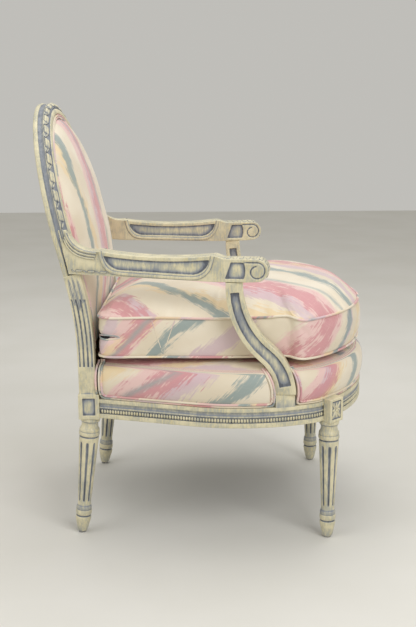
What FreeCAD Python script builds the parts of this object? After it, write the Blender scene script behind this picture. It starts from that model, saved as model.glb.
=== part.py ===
import FreeCAD, Part
import math
import os

# Open-arm chair with a moulded arched back, scroll arms, turned legs and a loose seat cushion.
# Millimetres. The chair faces -Y, +Z is up, and the sitter's left side is +X.
# Every left-hand piece is modelled, and its right-hand twin is a mirror image across x = 0.

# Overall
OVERALL_HEIGHT = 950.0

# Plan of the seat rails, measured on their outer face
SEAT_HALF_WIDTH = 314.0
SEAT_WIDEST_Y = -80.0
SIDE_RAIL_RADIUS = 366.0
FRONT_RAIL_Y = -368.0
SEAT_CORNER_RADIUS = 70.0
SEAT_CORNER_Y = -208.37

# Section of the seat rails, heights from the underside and depths from the outer face
RAIL_BOTTOM_Z = 275.0
RAIL_HEIGHT = 70.0
RAIL_THICKNESS = 32.0
RAIL_FACE_HEIGHT = 43.0
TACK_REBATE = 8.0
BASE_FILLET_HEIGHT = 10.0
BEAD_CHANNEL_TOP = 22.5
BEAD_CHANNEL_DEPTH = 4.0
COVE_TOP = 34.5
COVE_DEPTH = 4.0
QUIRK = 1.2
FACET_SHARE = 0.28
SAME_POINT = 0.001

# Legs, turned round one axis: radii and heights above the floor
LEG_TOP_Z = 272.0
GLIDE_HEIGHT = 3.0
GLIDE_RADIUS = 8.0
GLIDE_SIDES = 12
GLIDE_PIN_WIDTH = 3.0
GLIDE_PIN_LENGTH = 12.0
FOOT_RADIUS = 11.0
ANKLE_RADIUS = 17.3
ANKLE_Z = 36.0
ANKLE_GROOVE_RADIUS = 14.5
ANKLE_RING_BOTTOM_Z = 47.0
ANKLE_RING_TOP_Z = 62.0
SHAFT_FOOT_RADIUS = 14.3
SHAFT_BOTTOM_Z = 72.0
SHAFT_HEAD_RADIUS = 21.8
SHAFT_TOP_Z = 218.0
COLLAR_RADIUS = 23.3
COLLAR_BOTTOM_Z = 228.0
COLLAR_TOP_Z = 243.0
NECK_RADIUS = 17.5
NECK_Z = 256.0
LEG_CAP_RADIUS = 21.5
LEG_CAP_HEIGHT = 6.0
FLUTE_COUNT = 8
FLUTE_DEPTH_SHARE = 0.12
FLUTE_RIB_TURN = 16.0
FLUTE_FLOOR_TURN = 15.0
FLUTE_MARGIN = 9.0

# Front legs: axis from the centre of the seat's corner arc, and the square block turned to face the corner
FRONT_LEG_OFFSET_X = 31.285
FRONT_LEG_OFFSET_Y = 66.63
FRONT_BLOCK_WIDTH = 42.0
FRONT_BLOCK_TOP_Z = 325.0
FRONT_BLOCK_TURN = 45.0
BLOCK_PANEL_BORDER = 6.0
BLOCK_PANEL_DEPTH = 3.0

# Rear stiles: block over the raked leg, then the bent post
REAR_BLOCK_OUTER_X = 243.0
REAR_BLOCK_REAR_Y = 273.0
REAR_BLOCK_TOP_Z = 329.0
REAR_PANEL_BORDER = 9.0
REAR_FOOT_OFFSET = 27.0
BLOCK_REVEAL = 2.0
BLOCK_INNER_REVEAL = 4.0
STILE_REVEAL = 3.0
BEND_START_Z = 420.0
BEND_RADIUS = 720.0
BACK_RAKE = 13.2
POST_FLUTE_COUNT = 4
POST_FLUTE_WIDTH = 5.0
POST_FLUTE_DEPTH = 2.2
POST_FLUTE_START_Z = 392.0
POST_FLUTE_TOP_Z = 545.0

# Back frame: section across the arch, widths inward from the outer edge and depths from the rear face
ARCH_RADIUS = 275.0
FRAME_DEPTH = 36.0
REAR_BEAD_DEPTH = 11.0
CREST_COVE_END = 23.0
RIBBON_SEAT_WIDTH = 12.0
LIP_WIDTH = 12.8
PAD_REBATE_WIDTH = 8.0
PAD_REBATE_DEPTH = 7.0
MOULDED_STILE_LENGTH = 62.0

# Rails behind the seat and under the back pad
LOWER_BACK_RAIL_Z = 368.0
LOWER_BACK_RAIL_HEIGHT = 40.0
BACK_RAIL_THICKNESS = 22.0

# Arms: a plank of this thickness, splayed outward to the front, ending in a scroll
ARM_THICKNESS = 42.0
SCROLL_INSET = 10.0
SCROLL_Y = -117.0
SCROLL_Z = 615.5
SCROLL_RADIUS = 23.5
ARM_PEAK_RUN = 88.0
ARM_PEAK_Z = 645.5
ARM_DIP_Z = 640.0
ARM_SHOULDER_RUN = 331.0
ARM_SHOULDER_Z = 651.0
ARM_UNDERSIDE_Z = 590.5
ARM_ROOT_UNDERSIDE_Z = 601.0
ARM_ROOT_TOP_Z = 694.0
ARM_BORDER = 10.0
ARM_PANEL_DEPTH = 3.5
NOTCH_SETBACK = 20.0
ELBOW_LOW_FRONT_RISE = 14.0
ELBOW_TOP_FRONT_DROP = 4.0
ELBOW_DIP_DROP = 8.0
ELBOW_BEND = 40.0
ELBOW_REAR_EASE = 12.0
ELBOW_FRONT_EASE = 14.0
SCROLL_PANEL_TOP_SETBACK = 34.0
SCROLL_PANEL_LOW_SETBACK = 22.0
VOLUTE_GROOVE_WIDTH = 3.8
VOLUTE_GROOVE_DEPTH = 2.2
VOLUTE_PITCH = 7.6
VOLUTE_BORDER = 7.0
ARM_ROOT_TAPER = 15.5
ARM_SWEEP_RUN_SHARE = 0.72
ARM_SWEEP_RISE_SHARE = 0.34

# Arm posts: an S of two arcs in side view
POST_TOP_Y = -68.5
POST_FOOT_INSET = 30.0
POST_UPPER_RADIUS = 195.0
POST_LOWER_RADIUS = 120.0
POST_SWING = 49.0
POST_TOP_WIDTH = 36.0
POST_FOOT_WIDTH = 44.0
POST_THICKNESS = 36.0
POST_BORDER = 9.0
POST_CHANNEL_DEPTH = 4.0
POST_SCRIBE = 8.0
POST_CHANNEL_TOP_SHARE = 0.05
POST_CHANNEL_FOOT_SHARE = 0.93

# Joinery
TENON_THICKNESS = 10.0
TENON_LENGTH = 16.0
TENON_ROOT = 8.0
MORTISE_CLEARANCE = 0.15
MORTISE_END_ROOM = 1.0
RAIL_TENON_HEIGHT = 30.0
RAIL_TENON_Z = 300.0
RAIL_TENON_SETBACK = 17.0
BLOCK_TENON_SETBACK = 4.5
BACK_TENON_HEIGHT = 24.0
CREST_TENON_WIDTH = 18.0
CREST_TENON_DEPTH = 13.0
ARM_TENON_HEIGHT = 22.0
ARM_TENON_Z = 619.0
POST_HEAD_TENON_WIDTH = 20.0
POST_FOOT_TENON_WIDTH = 26.0
BRACE_WIDTH = 26.0
BRACE_HEIGHT = 42.0
BRACE_LENGTH = 120.0
FRONT_BRACE_OFFSET = 31.0
REAR_BRACE_OFFSET = 14.0

# Upholstery
SOFT_GAP = 0.4
SOFT_CHORD = 1.2
CORD_SIDES = 6
STRAP_WIDTH = 50.0
STRAP_THICKNESS = 2.0
LENGTHWISE_STRAP_PITCH = 125.0
CROSSWISE_STRAP_PITCH = 130.0
FIRST_CROSSWISE_STRAP_Y = -255.0
CROSSWISE_STRAP_COUNT = 4
STRAP_INSET = 16.0
DUST_COVER_THICKNESS = 1.0
DUST_COVER_INSET = 12.0
CORD_RADIUS = 2.5
DECK_EDGE_Z = 396.0
DECK_CROWN = 12.0
DECK_BULGE = 5.0
DECK_BORDER_STEPS = ((0.4, 1.0), (0.75, 0.6))
DECK_EDGE_INSET = 10.0
DECK_CROWN_INSET = 50.0
DECK_REAR_GAP = 5.0
BACK_CROWN = 42.0
OUTSIDE_PANEL_INSET = 2.0
OUTSIDE_PANEL_THICKNESS = 6.0
OUTSIDE_PANEL_BOTTOM_Z = 300.0
BURLAP_THICKNESS = 1.0
PAD_FLANGE = 2.5
PAD_STATIONS = ((1.0, 0.86, 1.0), (0.75, 0.5, 0.65), (0.5, 0.2, 0.4), (0.25, 0.12, 0.3), (0.0, 0.1, 0.3))

# Loose cushion, cut to a T round the arm posts
CUSHION_SETBACK = 10.0
CUSHION_POST_CLEARANCE = 4.0
CUSHION_REAR_CORNER = 24.0
EAR_RADIUS = 18.0
EAR_Y = -210.0
CUSHION_BOTTOM_SEAM_Z = 419.0
CUSHION_BOXING = 85.0
CUSHION_CROWN = 48.0
CUSHION_BASE_STEPS = ((0.7, 1.0), (0.9, 0.7))
CUSHION_CROWN_STEPS = ((0.94, 0.42), (0.82, 0.74), (0.6, 0.94), (0.3, 1.0))
PIPING_RADIUS = 3.0
ZIPPER_LENGTH = 400.0
ZIPPER_TAPE_HEIGHT = 26.0
ZIPPER_TAPE_THICKNESS = 1.0
ZIPPER_CHAIN_HEIGHT = 5.0
ZIPPER_CHAIN_THICKNESS = 1.6
SLIDER_LENGTH = 11.0
SLIDER_HEIGHT = 8.5
SLIDER_WALL = 0.9
PULL_LENGTH = 20.0
PULL_WIDTH = 5.0

# Values that follow from the driving dimensions
FRAME_WIDTH = 6 * QUIRK + RIBBON_SEAT_WIDTH + LIP_WIDTH + PAD_REBATE_WIDTH
REAR_BLOCK_WIDTH = FRAME_WIDTH + BLOCK_REVEAL + BLOCK_INNER_REVEAL
RAIL_TOP_Z = RAIL_BOTTOM_Z + RAIL_HEIGHT
RAIL_FACE_TOP_Z = RAIL_BOTTOM_Z + RAIL_FACE_HEIGHT
REAR_BLOCK_FRONT_Y = REAR_BLOCK_REAR_Y - REAR_BLOCK_WIDTH
REAR_BLOCK_X = REAR_BLOCK_OUTER_X - REAR_BLOCK_WIDTH / 2
REAR_BLOCK_Y = REAR_BLOCK_REAR_Y - REAR_BLOCK_WIDTH / 2
STILE_FOOT_X = REAR_BLOCK_OUTER_X - BLOCK_REVEAL
STILE_REAR_Y = REAR_BLOCK_REAR_Y - STILE_REVEAL
RAKE = math.radians(BACK_RAKE)
BEND_END_Y = STILE_REAR_Y + BEND_RADIUS * (1 - math.cos(RAKE))
BEND_END_Z = BEND_START_Z + BEND_RADIUS * math.sin(RAKE)
ARCH_TOP_RISE = OVERALL_HEIGHT - BEND_END_Z - REAR_BEAD_DEPTH * (1 - FACET_SHARE) * math.sin(RAKE)
ARCH_CENTRE_S = ARCH_TOP_RISE / math.cos(RAKE) - ARCH_RADIUS
STRAP_TOP_Z = RAIL_TOP_Z + 2 * STRAP_THICKNESS
CUSHION_TOP_SEAM_Z = CUSHION_BOTTOM_SEAM_Z + CUSHION_BOXING
SIDE_CENTRE_X = SEAT_HALF_WIDTH - SIDE_RAIL_RADIUS
SCROLL_X = SEAT_HALF_WIDTH - SCROLL_INSET
POST_FOOT_X = SEAT_HALF_WIDTH - POST_FOOT_INSET
DECK_REAR_Y = REAR_BLOCK_FRONT_Y - DECK_REAR_GAP
CUSHION_SIDE_X = POST_FOOT_X - POST_THICKNESS / 2 - CUSHION_POST_CLEARANCE
CUSHION_REAR_Y = DECK_REAR_Y
UP = FreeCAD.Vector(0, 0, 1)
ORIGIN = FreeCAD.Vector(0, 0, 0)


def vec(x, y, z):
    return FreeCAD.Vector(x, y, z)


def outline(place, start, steps):
    """Wire of steps: two numbers are a line to a point, four an arc through one point to another."""
    edges = []
    here = place(*start)
    for step in steps:
        there = place(*step[-2:])
        if len(step) == 2:
            edges.append(Part.LineSegment(here, there).toShape())
        else:
            edges.append(Part.Arc(here, place(*step[:2]), there).toShape())
        here = there
    return Part.Wire(edges)


def prism(wire, direction):
    return Part.Face(wire).extrude(direction)


def box(x0, x1, y0, y1, z0, z1):
    return Part.makeBox(x1 - x0, y1 - y0, z1 - z0, vec(x0, y0, z0))


def mirrored(shape):
    return shape.mirror(ORIGIN, vec(1, 0, 0))


def half_space(point, normal, reach=600.0):
    """Large block on the side of a plane that its normal points to."""
    block = Part.makeBox(2 * reach, 2 * reach, 2 * reach, vec(-reach, -reach, 0))
    block.Placement = FreeCAD.Placement(point, FreeCAD.Rotation(UP, normal))
    return block


def main_solid(shape):
    return max(shape.Solids, key=lambda solid: solid.Volume)


def polar(centre, radius, angle):
    return (centre[0] + radius * math.cos(angle), centre[1] + radius * math.sin(angle))


def arc_between(centre, radius, first, last):
    """Middle and end point of an arc, as one step of an outline."""
    return polar(centre, radius, (first + last) / 2) + polar(centre, radius, last)


def direction_of(centre, point):
    return math.atan2(point[1] - centre[1], point[0] - centre[0])


def faceted(first, last, rise):
    """Bead or cove between two points of a section: three flats that stand off the chord by rise."""
    points = []
    for share in (FACET_SHARE, 1 - FACET_SHARE):
        u = first[0] + share * (last[0] - first[0]) + rise[0]
        v = first[1] + share * (last[1] - first[1]) + rise[1]
        points.append((u, v))
    return points + [last]


def oriented_box(centre, along, up, ends, height, thickness):
    """Box set on a line, between two places along it, with its height in the direction up."""
    start, end = ends
    block = Part.makeBox(end - start, thickness, height, vec(start, -thickness / 2, -height / 2))
    block.Placement = FreeCAD.Placement(centre, FreeCAD.Rotation(along, up.cross(along), up, "XZY"))
    return block


def stacked(rings):
    """Solid through a stack of rings with the same number of corners, with flat sides between them."""
    faces = []
    for low, high in zip(rings, rings[1:]):
        for index in range(len(low)):
            after = (index + 1) % len(low)
            corners = []
            for point in (low[index], low[after], high[after], high[index]):
                if not any(point.isEqual(other, SAME_POINT) for other in corners):
                    corners.append(point)
            if len(corners) > 2:
                faces.append(Part.Face(Part.makePolygon(corners + corners[:1])))
    for ring in (rings[0], rings[-1]):
        faces.append(Part.Face(Part.makePolygon(ring + ring[:1])))
    return Part.Solid(Part.Shell(faces))


# Plan of the seat

SIDE_CENTRE = (SIDE_CENTRE_X, SEAT_WIDEST_Y)


def corner_centre():
    """Centre of the arc that rounds the front corner, tangent inside the side arc."""
    reach = SIDE_RAIL_RADIUS - SEAT_CORNER_RADIUS
    return (SIDE_CENTRE_X + math.sqrt(reach ** 2 - (SEAT_CORNER_Y - SEAT_WIDEST_Y) ** 2), SEAT_CORNER_Y)


def front_radius():
    """Radius of the front rail, through its foremost point and tangent to both corner arcs."""
    x, y = CORNER_CENTRE
    rise = y - FRONT_RAIL_Y
    return (x ** 2 + rise ** 2 - SEAT_CORNER_RADIUS ** 2) / (2 * (rise - SEAT_CORNER_RADIUS))


CORNER_CENTRE = corner_centre()
FRONT_RAIL_RADIUS = front_radius()
FRONT_CENTRE = (0.0, FRONT_RAIL_Y + FRONT_RAIL_RADIUS)
FRONT_LEG_X = CORNER_CENTRE[0] + FRONT_LEG_OFFSET_X
FRONT_LEG_Y = CORNER_CENTRE[1] - FRONT_LEG_OFFSET_Y


def side_tangent_angle():
    """Where the straight rear run of the side rail leaves the arc, seen from the arc's centre."""
    rear = (REAR_BLOCK_OUTER_X - BLOCK_REVEAL, REAR_BLOCK_FRONT_Y)
    reach = math.dist(rear, SIDE_CENTRE)
    return direction_of(SIDE_CENTRE, rear) - math.acos(SIDE_RAIL_RADIUS / reach)


SIDE_TANGENT = side_tangent_angle()
SIDE_TO_CORNER = direction_of(SIDE_CENTRE, CORNER_CENTRE)
FRONT_TO_CORNER = direction_of(FRONT_CENTRE, CORNER_CENTRE)


def side_line_x(y, inset):
    """Outer x of the side rail's straight run, moved inward."""
    tangent = polar(SIDE_CENTRE, SIDE_RAIL_RADIUS - inset, SIDE_TANGENT)
    return tangent[0] - (y - tangent[1]) * math.tan(SIDE_TANGENT)


def flat_at(z):
    return lambda x, y: vec(x, y, z)


def plan_ring(wire, share, z):
    """Corners of a plan outline with its arcs as chords, drawn in to the middle of the seat and raised."""
    points = []
    for point in wire.discretize(Deflection=SOFT_CHORD)[:-1]:
        points.append(vec(point.x * share, SEAT_WIDEST_Y + (point.y - SEAT_WIDEST_Y) * share, z))
    return points


def front_steps(inset, first):
    """Steps from a point on the left side arc round the front to the same point on the right."""
    side = SIDE_RAIL_RADIUS - inset
    corner = SEAT_CORNER_RADIUS - inset
    front = FRONT_RAIL_RADIUS - inset
    left = [
        arc_between(SIDE_CENTRE, side, first, SIDE_TO_CORNER),
        arc_between(CORNER_CENTRE, corner, SIDE_TO_CORNER, FRONT_TO_CORNER),
        arc_between(FRONT_CENTRE, front, FRONT_TO_CORNER, -math.pi - FRONT_TO_CORNER),
    ]
    starts = [polar(SIDE_CENTRE, side, first), left[0][2:]]
    right = [
        (-left[1][0], left[1][1], -starts[1][0], starts[1][1]),
        (-left[0][0], left[0][1], -starts[0][0], starts[0][1]),
    ]
    return left + right


def seat_outline(inset, z, rear_y):
    """Outline of the seat, moved inward from the rails' outer face."""
    rear_x = side_line_x(rear_y, inset)
    tangent = polar(SIDE_CENTRE, SIDE_RAIL_RADIUS - inset, SIDE_TANGENT)
    steps = [tangent] + front_steps(inset, SIDE_TANGENT) + [(-rear_x, rear_y), (rear_x, rear_y)]
    return outline(flat_at(z), (rear_x, rear_y), steps)


# Rails

def rail_section(place):
    """Moulded section: base fillet, bead channel, cove, top fillet, then the rebate for the covering."""
    channel_z = RAIL_BOTTOM_Z + BASE_FILLET_HEIGHT
    fillet_z = RAIL_BOTTOM_Z + BEAD_CHANNEL_TOP
    cove_z = fillet_z + 2 * QUIRK
    cove_top_z = RAIL_BOTTOM_Z + COVE_TOP
    steps = [
        (0, RAIL_BOTTOM_Z),
        (0, channel_z),
        (-BEAD_CHANNEL_DEPTH, channel_z),
        (-BEAD_CHANNEL_DEPTH, fillet_z),
        (-QUIRK, fillet_z),
        (-QUIRK, cove_z),
        (-COVE_DEPTH, (cove_z + cove_top_z) / 2),
        (0, cove_top_z),
        (0, RAIL_FACE_TOP_Z),
        (-TACK_REBATE, RAIL_FACE_TOP_Z),
        (-TACK_REBATE, RAIL_TOP_Z),
        (-RAIL_THICKNESS, RAIL_TOP_Z),
        (-RAIL_THICKNESS, RAIL_BOTTOM_Z),
    ]
    return outline(place, (-RAIL_THICKNESS, RAIL_BOTTOM_Z), steps)


def radial_place(centre, radius, angle):
    """Vertical plane through an arc's centre: depth from the arc, then height."""
    def place(depth, z):
        x, y = polar(centre, radius + depth, angle)
        return vec(x, y, z)
    return place


def turned_round(wire, centre, first, last):
    """Solid swept by a section about a vertical axis, from the angle where it stands to another."""
    return Part.Face(wire).revolve(vec(centre[0], centre[1], 0), UP, math.degrees(last - first))


def front_block(grow, z0, z1):
    half = FRONT_BLOCK_WIDTH / 2 + grow
    block = box(-half, half, -half, half, z0, z1)
    block.rotate(ORIGIN, UP, FRONT_BLOCK_TURN)
    block.translate(vec(FRONT_LEG_X, FRONT_LEG_Y, 0))
    return block


def behind_front_leg(side):
    """Everything past the plane that halves the front corner: side rail's side (1) or front rail's (-1)."""
    turn = math.radians(FRONT_BLOCK_TURN)
    normal = vec(math.cos(turn), math.sin(turn), 0) * side
    return half_space(vec(FRONT_LEG_X, FRONT_LEG_Y, 0), normal)


FRONT_LEG = (FRONT_LEG_X, FRONT_LEG_Y)
SIDE_TO_LEG = direction_of(SIDE_CENTRE, FRONT_LEG)
FRONT_TO_LEG = direction_of(FRONT_CENTRE, FRONT_LEG)
POST_DROP = (POST_UPPER_RADIUS + POST_LOWER_RADIUS) * math.sin(math.radians(POST_SWING))
POST_RUN = (POST_UPPER_RADIUS + POST_LOWER_RADIUS) * (1 - math.cos(math.radians(POST_SWING)))
POST_FOOT_Y = POST_TOP_Y - POST_RUN


def side_arc_angle(y):
    return math.asin((y - SEAT_WIDEST_Y) / SIDE_RAIL_RADIUS)


def post_step(grow):
    """Plain block that fills the rebate of the side rail under the arm post."""
    first = side_arc_angle(POST_FOOT_Y - POST_FOOT_WIDTH / 2 - grow)
    last = side_arc_angle(POST_FOOT_Y + POST_FOOT_WIDTH / 2 + grow)
    inner = -TACK_REBATE - QUIRK
    low_z = RAIL_FACE_TOP_Z - QUIRK
    steps = [
        (grow, low_z),
        (grow, RAIL_TOP_Z + grow),
        (inner, RAIL_TOP_Z + grow),
        (inner, low_z),
    ]
    section = outline(radial_place(SIDE_CENTRE, SIDE_RAIL_RADIUS, first), (inner, low_z), steps)
    return turned_round(section, SIDE_CENTRE, first, last)


def side_rail():
    at_tangent = rail_section(radial_place(SIDE_CENTRE, SIDE_RAIL_RADIUS, SIDE_TANGENT))
    bow = turned_round(at_tangent, SIDE_CENTRE, SIDE_TANGENT, SIDE_TO_LEG)
    run = REAR_BLOCK_REAR_Y - polar(SIDE_CENTRE, SIDE_RAIL_RADIUS, SIDE_TANGENT)[1]
    straight = Part.Face(at_tangent).extrude(vec(-run * math.tan(SIDE_TANGENT), run, 0))
    rail = straight.fuse([bow, post_step(0)])
    rear_end = half_space(vec(0, REAR_BLOCK_FRONT_Y, 0), vec(0, 1, 0))
    tall_block = front_block(0, RAIL_BOTTOM_Z - FRAME_WIDTH, RAIL_TOP_Z + FRAME_WIDTH)
    return main_solid(rail.cut([rear_end, tall_block, behind_front_leg(-1)]).removeSplitter())


def front_rail():
    section = rail_section(radial_place(FRONT_CENTRE, FRONT_RAIL_RADIUS, FRONT_TO_LEG))
    bow = turned_round(section, FRONT_CENTRE, FRONT_TO_LEG, -math.pi - FRONT_TO_LEG)
    tall_block = front_block(0, RAIL_BOTTOM_Z - FRAME_WIDTH, RAIL_TOP_Z + FRAME_WIDTH)
    ends = [tall_block, behind_front_leg(1)]
    return main_solid(bow.cut(ends + [mirrored(end) for end in ends]))


REAR_RAIL_REAR_Y = STILE_REAR_Y - OUTSIDE_PANEL_INSET - OUTSIDE_PANEL_THICKNESS - SOFT_GAP
REAR_RAIL_END_X = REAR_BLOCK_OUTER_X - REAR_BLOCK_WIDTH


def rear_rail():
    front = REAR_RAIL_REAR_Y - RAIL_THICKNESS
    return box(-REAR_RAIL_END_X, REAR_RAIL_END_X, front, REAR_RAIL_REAR_Y, RAIL_BOTTOM_Z, RAIL_TOP_Z)


# Legs

def leg_ring(radius, z, sunk):
    """Corners round the leg at one height: each rib at the full radius, each flute's floor sunk or not."""
    floor = radius * (1 - FLUTE_DEPTH_SHARE) if sunk else radius
    pitch = 360 / FLUTE_COUNT
    points = []
    for index in range(FLUTE_COUNT):
        rib = index * pitch
        flute = rib + pitch / 2
        spots = [(radius, rib - FLUTE_RIB_TURN / 2), (radius, rib + FLUTE_RIB_TURN / 2),
                 (floor, flute - FLUTE_FLOOR_TURN / 2), (floor, flute + FLUTE_FLOOR_TURN / 2)]
        for reach, angle in spots:
            x, y = polar((0, 0), reach, math.radians(angle))
            points.append(vec(x, y, z))
    return points


def turned_leg():
    """Turned and fluted leg on the z axis, from the floor to the underside of its block."""
    ring_foot = ANKLE_GROOVE_RADIUS + QUIRK
    ring_rise = ANKLE_RADIUS - ANKLE_GROOVE_RADIUS
    waist = SHAFT_HEAD_RADIUS - 2 * QUIRK
    foot = [
        (FOOT_RADIUS, 0),
        (ANKLE_RADIUS, ANKLE_Z),
        (ANKLE_GROOVE_RADIUS, (ANKLE_Z + ANKLE_RING_BOTTOM_Z) / 2),
        (ring_foot, ANKLE_RING_BOTTOM_Z),
    ]
    foot += faceted((ring_foot, ANKLE_RING_BOTTOM_Z), (ring_foot, ANKLE_RING_TOP_Z), (ring_rise, 0))
    foot += [(SHAFT_FOOT_RADIUS, SHAFT_BOTTOM_Z)]
    head = [
        (SHAFT_HEAD_RADIUS, SHAFT_TOP_Z),
        (waist, SHAFT_TOP_Z + QUIRK),
        (waist, COLLAR_BOTTOM_Z),
    ]
    head += faceted((waist, COLLAR_BOTTOM_Z), (waist, COLLAR_TOP_Z), (COLLAR_RADIUS - waist, 0))
    head += [
        (NECK_RADIUS, NECK_Z),
        (LEG_CAP_RADIUS, LEG_TOP_Z - LEG_CAP_HEIGHT),
        (LEG_CAP_RADIUS, LEG_TOP_Z),
    ]
    taper = (SHAFT_HEAD_RADIUS - SHAFT_FOOT_RADIUS) / (SHAFT_TOP_Z - SHAFT_BOTTOM_Z)
    rings = [leg_ring(radius, z, False) for radius, z in foot]
    flute_foot_z = SHAFT_BOTTOM_Z + FLUTE_MARGIN
    flute_head_z = SHAFT_TOP_Z - FLUTE_MARGIN / 2
    for z, order in ((flute_foot_z, (False, True)), (flute_head_z, (True, False))):
        radius = SHAFT_FOOT_RADIUS + taper * (z - SHAFT_BOTTOM_Z)
        rings += [leg_ring(radius, z, sunk) for sunk in order]
    rings += [leg_ring(radius, z, False) for radius, z in head]
    return stacked(rings)


def floor_cut():
    reach = SEAT_HALF_WIDTH
    return box(-reach, reach, -reach, reach, -LEG_TOP_Z, GLIDE_HEIGHT)


def front_leg():
    leg = turned_leg()
    leg.translate(vec(FRONT_LEG_X, FRONT_LEG_Y, 0))
    half = FRONT_BLOCK_WIDTH / 2
    border = BLOCK_PANEL_BORDER
    panel = box(-half + border, half - border, -half, -half + BLOCK_PANEL_DEPTH,
                LEG_TOP_Z + border, FRONT_BLOCK_TOP_Z - border)
    panel.rotate(ORIGIN, UP, FRONT_BLOCK_TURN)
    panel.translate(vec(FRONT_LEG_X, FRONT_LEG_Y, 0))
    return leg.fuse(front_block(0, LEG_TOP_Z, FRONT_BLOCK_TOP_Z)).cut(panel).cut(floor_cut())


# Back frame, laid out on the raked plane: x across, s up the plane from the end of the bend, t forward

def back_point(x, s, t):
    y = BEND_END_Y + s * math.sin(RAKE) - t * math.cos(RAKE)
    return vec(x, y, BEND_END_Z + s * math.cos(RAKE) + t * math.sin(RAKE))


def frame_lean():
    """Lean of the stiles, so that their outer edge runs tangent into the arch."""
    drop = ARCH_CENTRE_S + BEND_RADIUS * RAKE + BEND_START_Z - REAR_BLOCK_TOP_Z
    reach = math.hypot(STILE_FOOT_X, drop)
    return math.atan2(drop, STILE_FOOT_X) - math.acos(ARCH_RADIUS / reach)


LEAN = frame_lean()
ARCH_CENTRE = back_point(0, ARCH_CENTRE_S, 0)
FORWARD = back_point(0, 0, 1) - back_point(0, 0, 0)
SPRING_X = ARCH_RADIUS * math.cos(LEAN)
SPRING_S = ARCH_CENTRE_S - ARCH_RADIUS * math.sin(LEAN)
SPRING_POINT = back_point(SPRING_X, SPRING_S, 0)
STILE_DOWN = back_point(-math.sin(LEAN), -math.cos(LEAN), 0) - back_point(0, 0, 0)


def spring_place(width, t):
    """Section plane across the frame where the stile meets the arch: width outward from the outer edge."""
    radius = ARCH_RADIUS + width
    return back_point(radius * math.cos(LEAN), ARCH_CENTRE_S - radius * math.sin(LEAN), t)


def frame_section(place):
    """Moulded section: rear bead, cove, seat of the ribbon carving, quirk, inner lip, pad rebate."""
    edge = -3 * QUIRK
    seat_end = edge - RIBBON_SEAT_WIDTH
    lip_start = seat_end - 3 * QUIRK
    lip_end = lip_start - LIP_WIDTH
    front = FRAME_DEPTH - 2 * QUIRK
    rebate = FRAME_DEPTH - PAD_REBATE_DEPTH
    steps = [(edge, 0)]
    steps += faceted((edge, 0), (edge, REAR_BEAD_DEPTH), (-edge, 0))
    steps += [
        (2 * edge, (REAR_BEAD_DEPTH + CREST_COVE_END) / 2),
        (edge, CREST_COVE_END),
        (seat_end, front),
        (seat_end - QUIRK, front - 2 * QUIRK),
        (lip_start, FRAME_DEPTH),
        (lip_end, FRAME_DEPTH),
        (lip_end, rebate),
        (-FRAME_WIDTH, rebate),
        (-FRAME_WIDTH, 0),
    ]
    return outline(place, (-FRAME_WIDTH, 0), steps)


def crest_rail():
    section = Part.Face(frame_section(spring_place))
    return section.revolve(ARCH_CENTRE, FORWARD, 180 + 2 * math.degrees(LEAN))


def bend_steps(t, bottom_z, top_s):
    """Side view of the surface at depth t: up the post, round the bend, up the raked plane."""
    centre_y = STILE_REAR_Y + BEND_RADIUS
    radius = BEND_RADIUS + t
    points = []
    for share in (0.0, 0.5, 1.0):
        angle = share * RAKE
        points.append((centre_y - radius * math.cos(angle), BEND_START_Z + radius * math.sin(angle)))
    top = back_point(0, top_s, t)
    return [(points[0][0], bottom_z), points[0], points[1] + points[2], (top.y, top.z)]


def bent_slab(t0, t1, x0, x1, bottom_z, top_s):
    """Slab between two depths of the back, bent as the stiles are, from x0 to x1."""
    rear = bend_steps(t0, bottom_z, top_s)
    front = bend_steps(t1, bottom_z, top_s)
    down = [front[3], front[2][2:], front[2][:2] + front[1], front[0], rear[0]]
    wire = outline(lambda y, z: vec(x0, y, z), rear[0], rear[1:] + down)
    return prism(wire, vec(x1 - x0, 0, 0))


def lean_strip(from_outer, to_outer):
    """Front view of a strip along the stile, between two widths measured inward from its outer edge."""
    top = SPRING_POINT - STILE_DOWN * FRAME_WIDTH
    low_z = REAR_BLOCK_TOP_Z
    widen = 1 / math.cos(LEAN)
    corners = [
        (STILE_FOOT_X - from_outer * widen, low_z),
        (top.x - from_outer * widen, top.z),
        (top.x - to_outer * widen, top.z),
        (STILE_FOOT_X - to_outer * widen, low_z),
    ]
    wire = outline(lambda x, z: vec(x, 0, z), corners[3], corners)
    return prism(wire, vec(0, STILE_REAR_Y + FRAME_WIDTH * 4, 0))


def post_flutes():
    """Channels along the outer side of the post, following its bend and its lean."""
    pitch = FRAME_DEPTH / POST_FLUTE_COUNT
    strip = lean_strip(-pitch, POST_FLUTE_DEPTH)
    above = half_space(vec(0, 0, POST_FLUTE_TOP_Z), UP)
    channels = []
    for index in range(POST_FLUTE_COUNT):
        middle = (index + 0.5) * pitch
        channel = bent_slab(middle - POST_FLUTE_WIDTH / 2, middle + POST_FLUTE_WIDTH / 2,
                            0, SEAT_HALF_WIDTH, POST_FLUTE_START_Z, ARCH_CENTRE_S)
        channels.append(channel.common(strip).cut(above))
    return channels


def rear_block():
    return box(REAR_BLOCK_OUTER_X - REAR_BLOCK_WIDTH, REAR_BLOCK_OUTER_X,
               REAR_BLOCK_FRONT_Y, REAR_BLOCK_REAR_Y, LEG_TOP_Z, REAR_BLOCK_TOP_Z)


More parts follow.
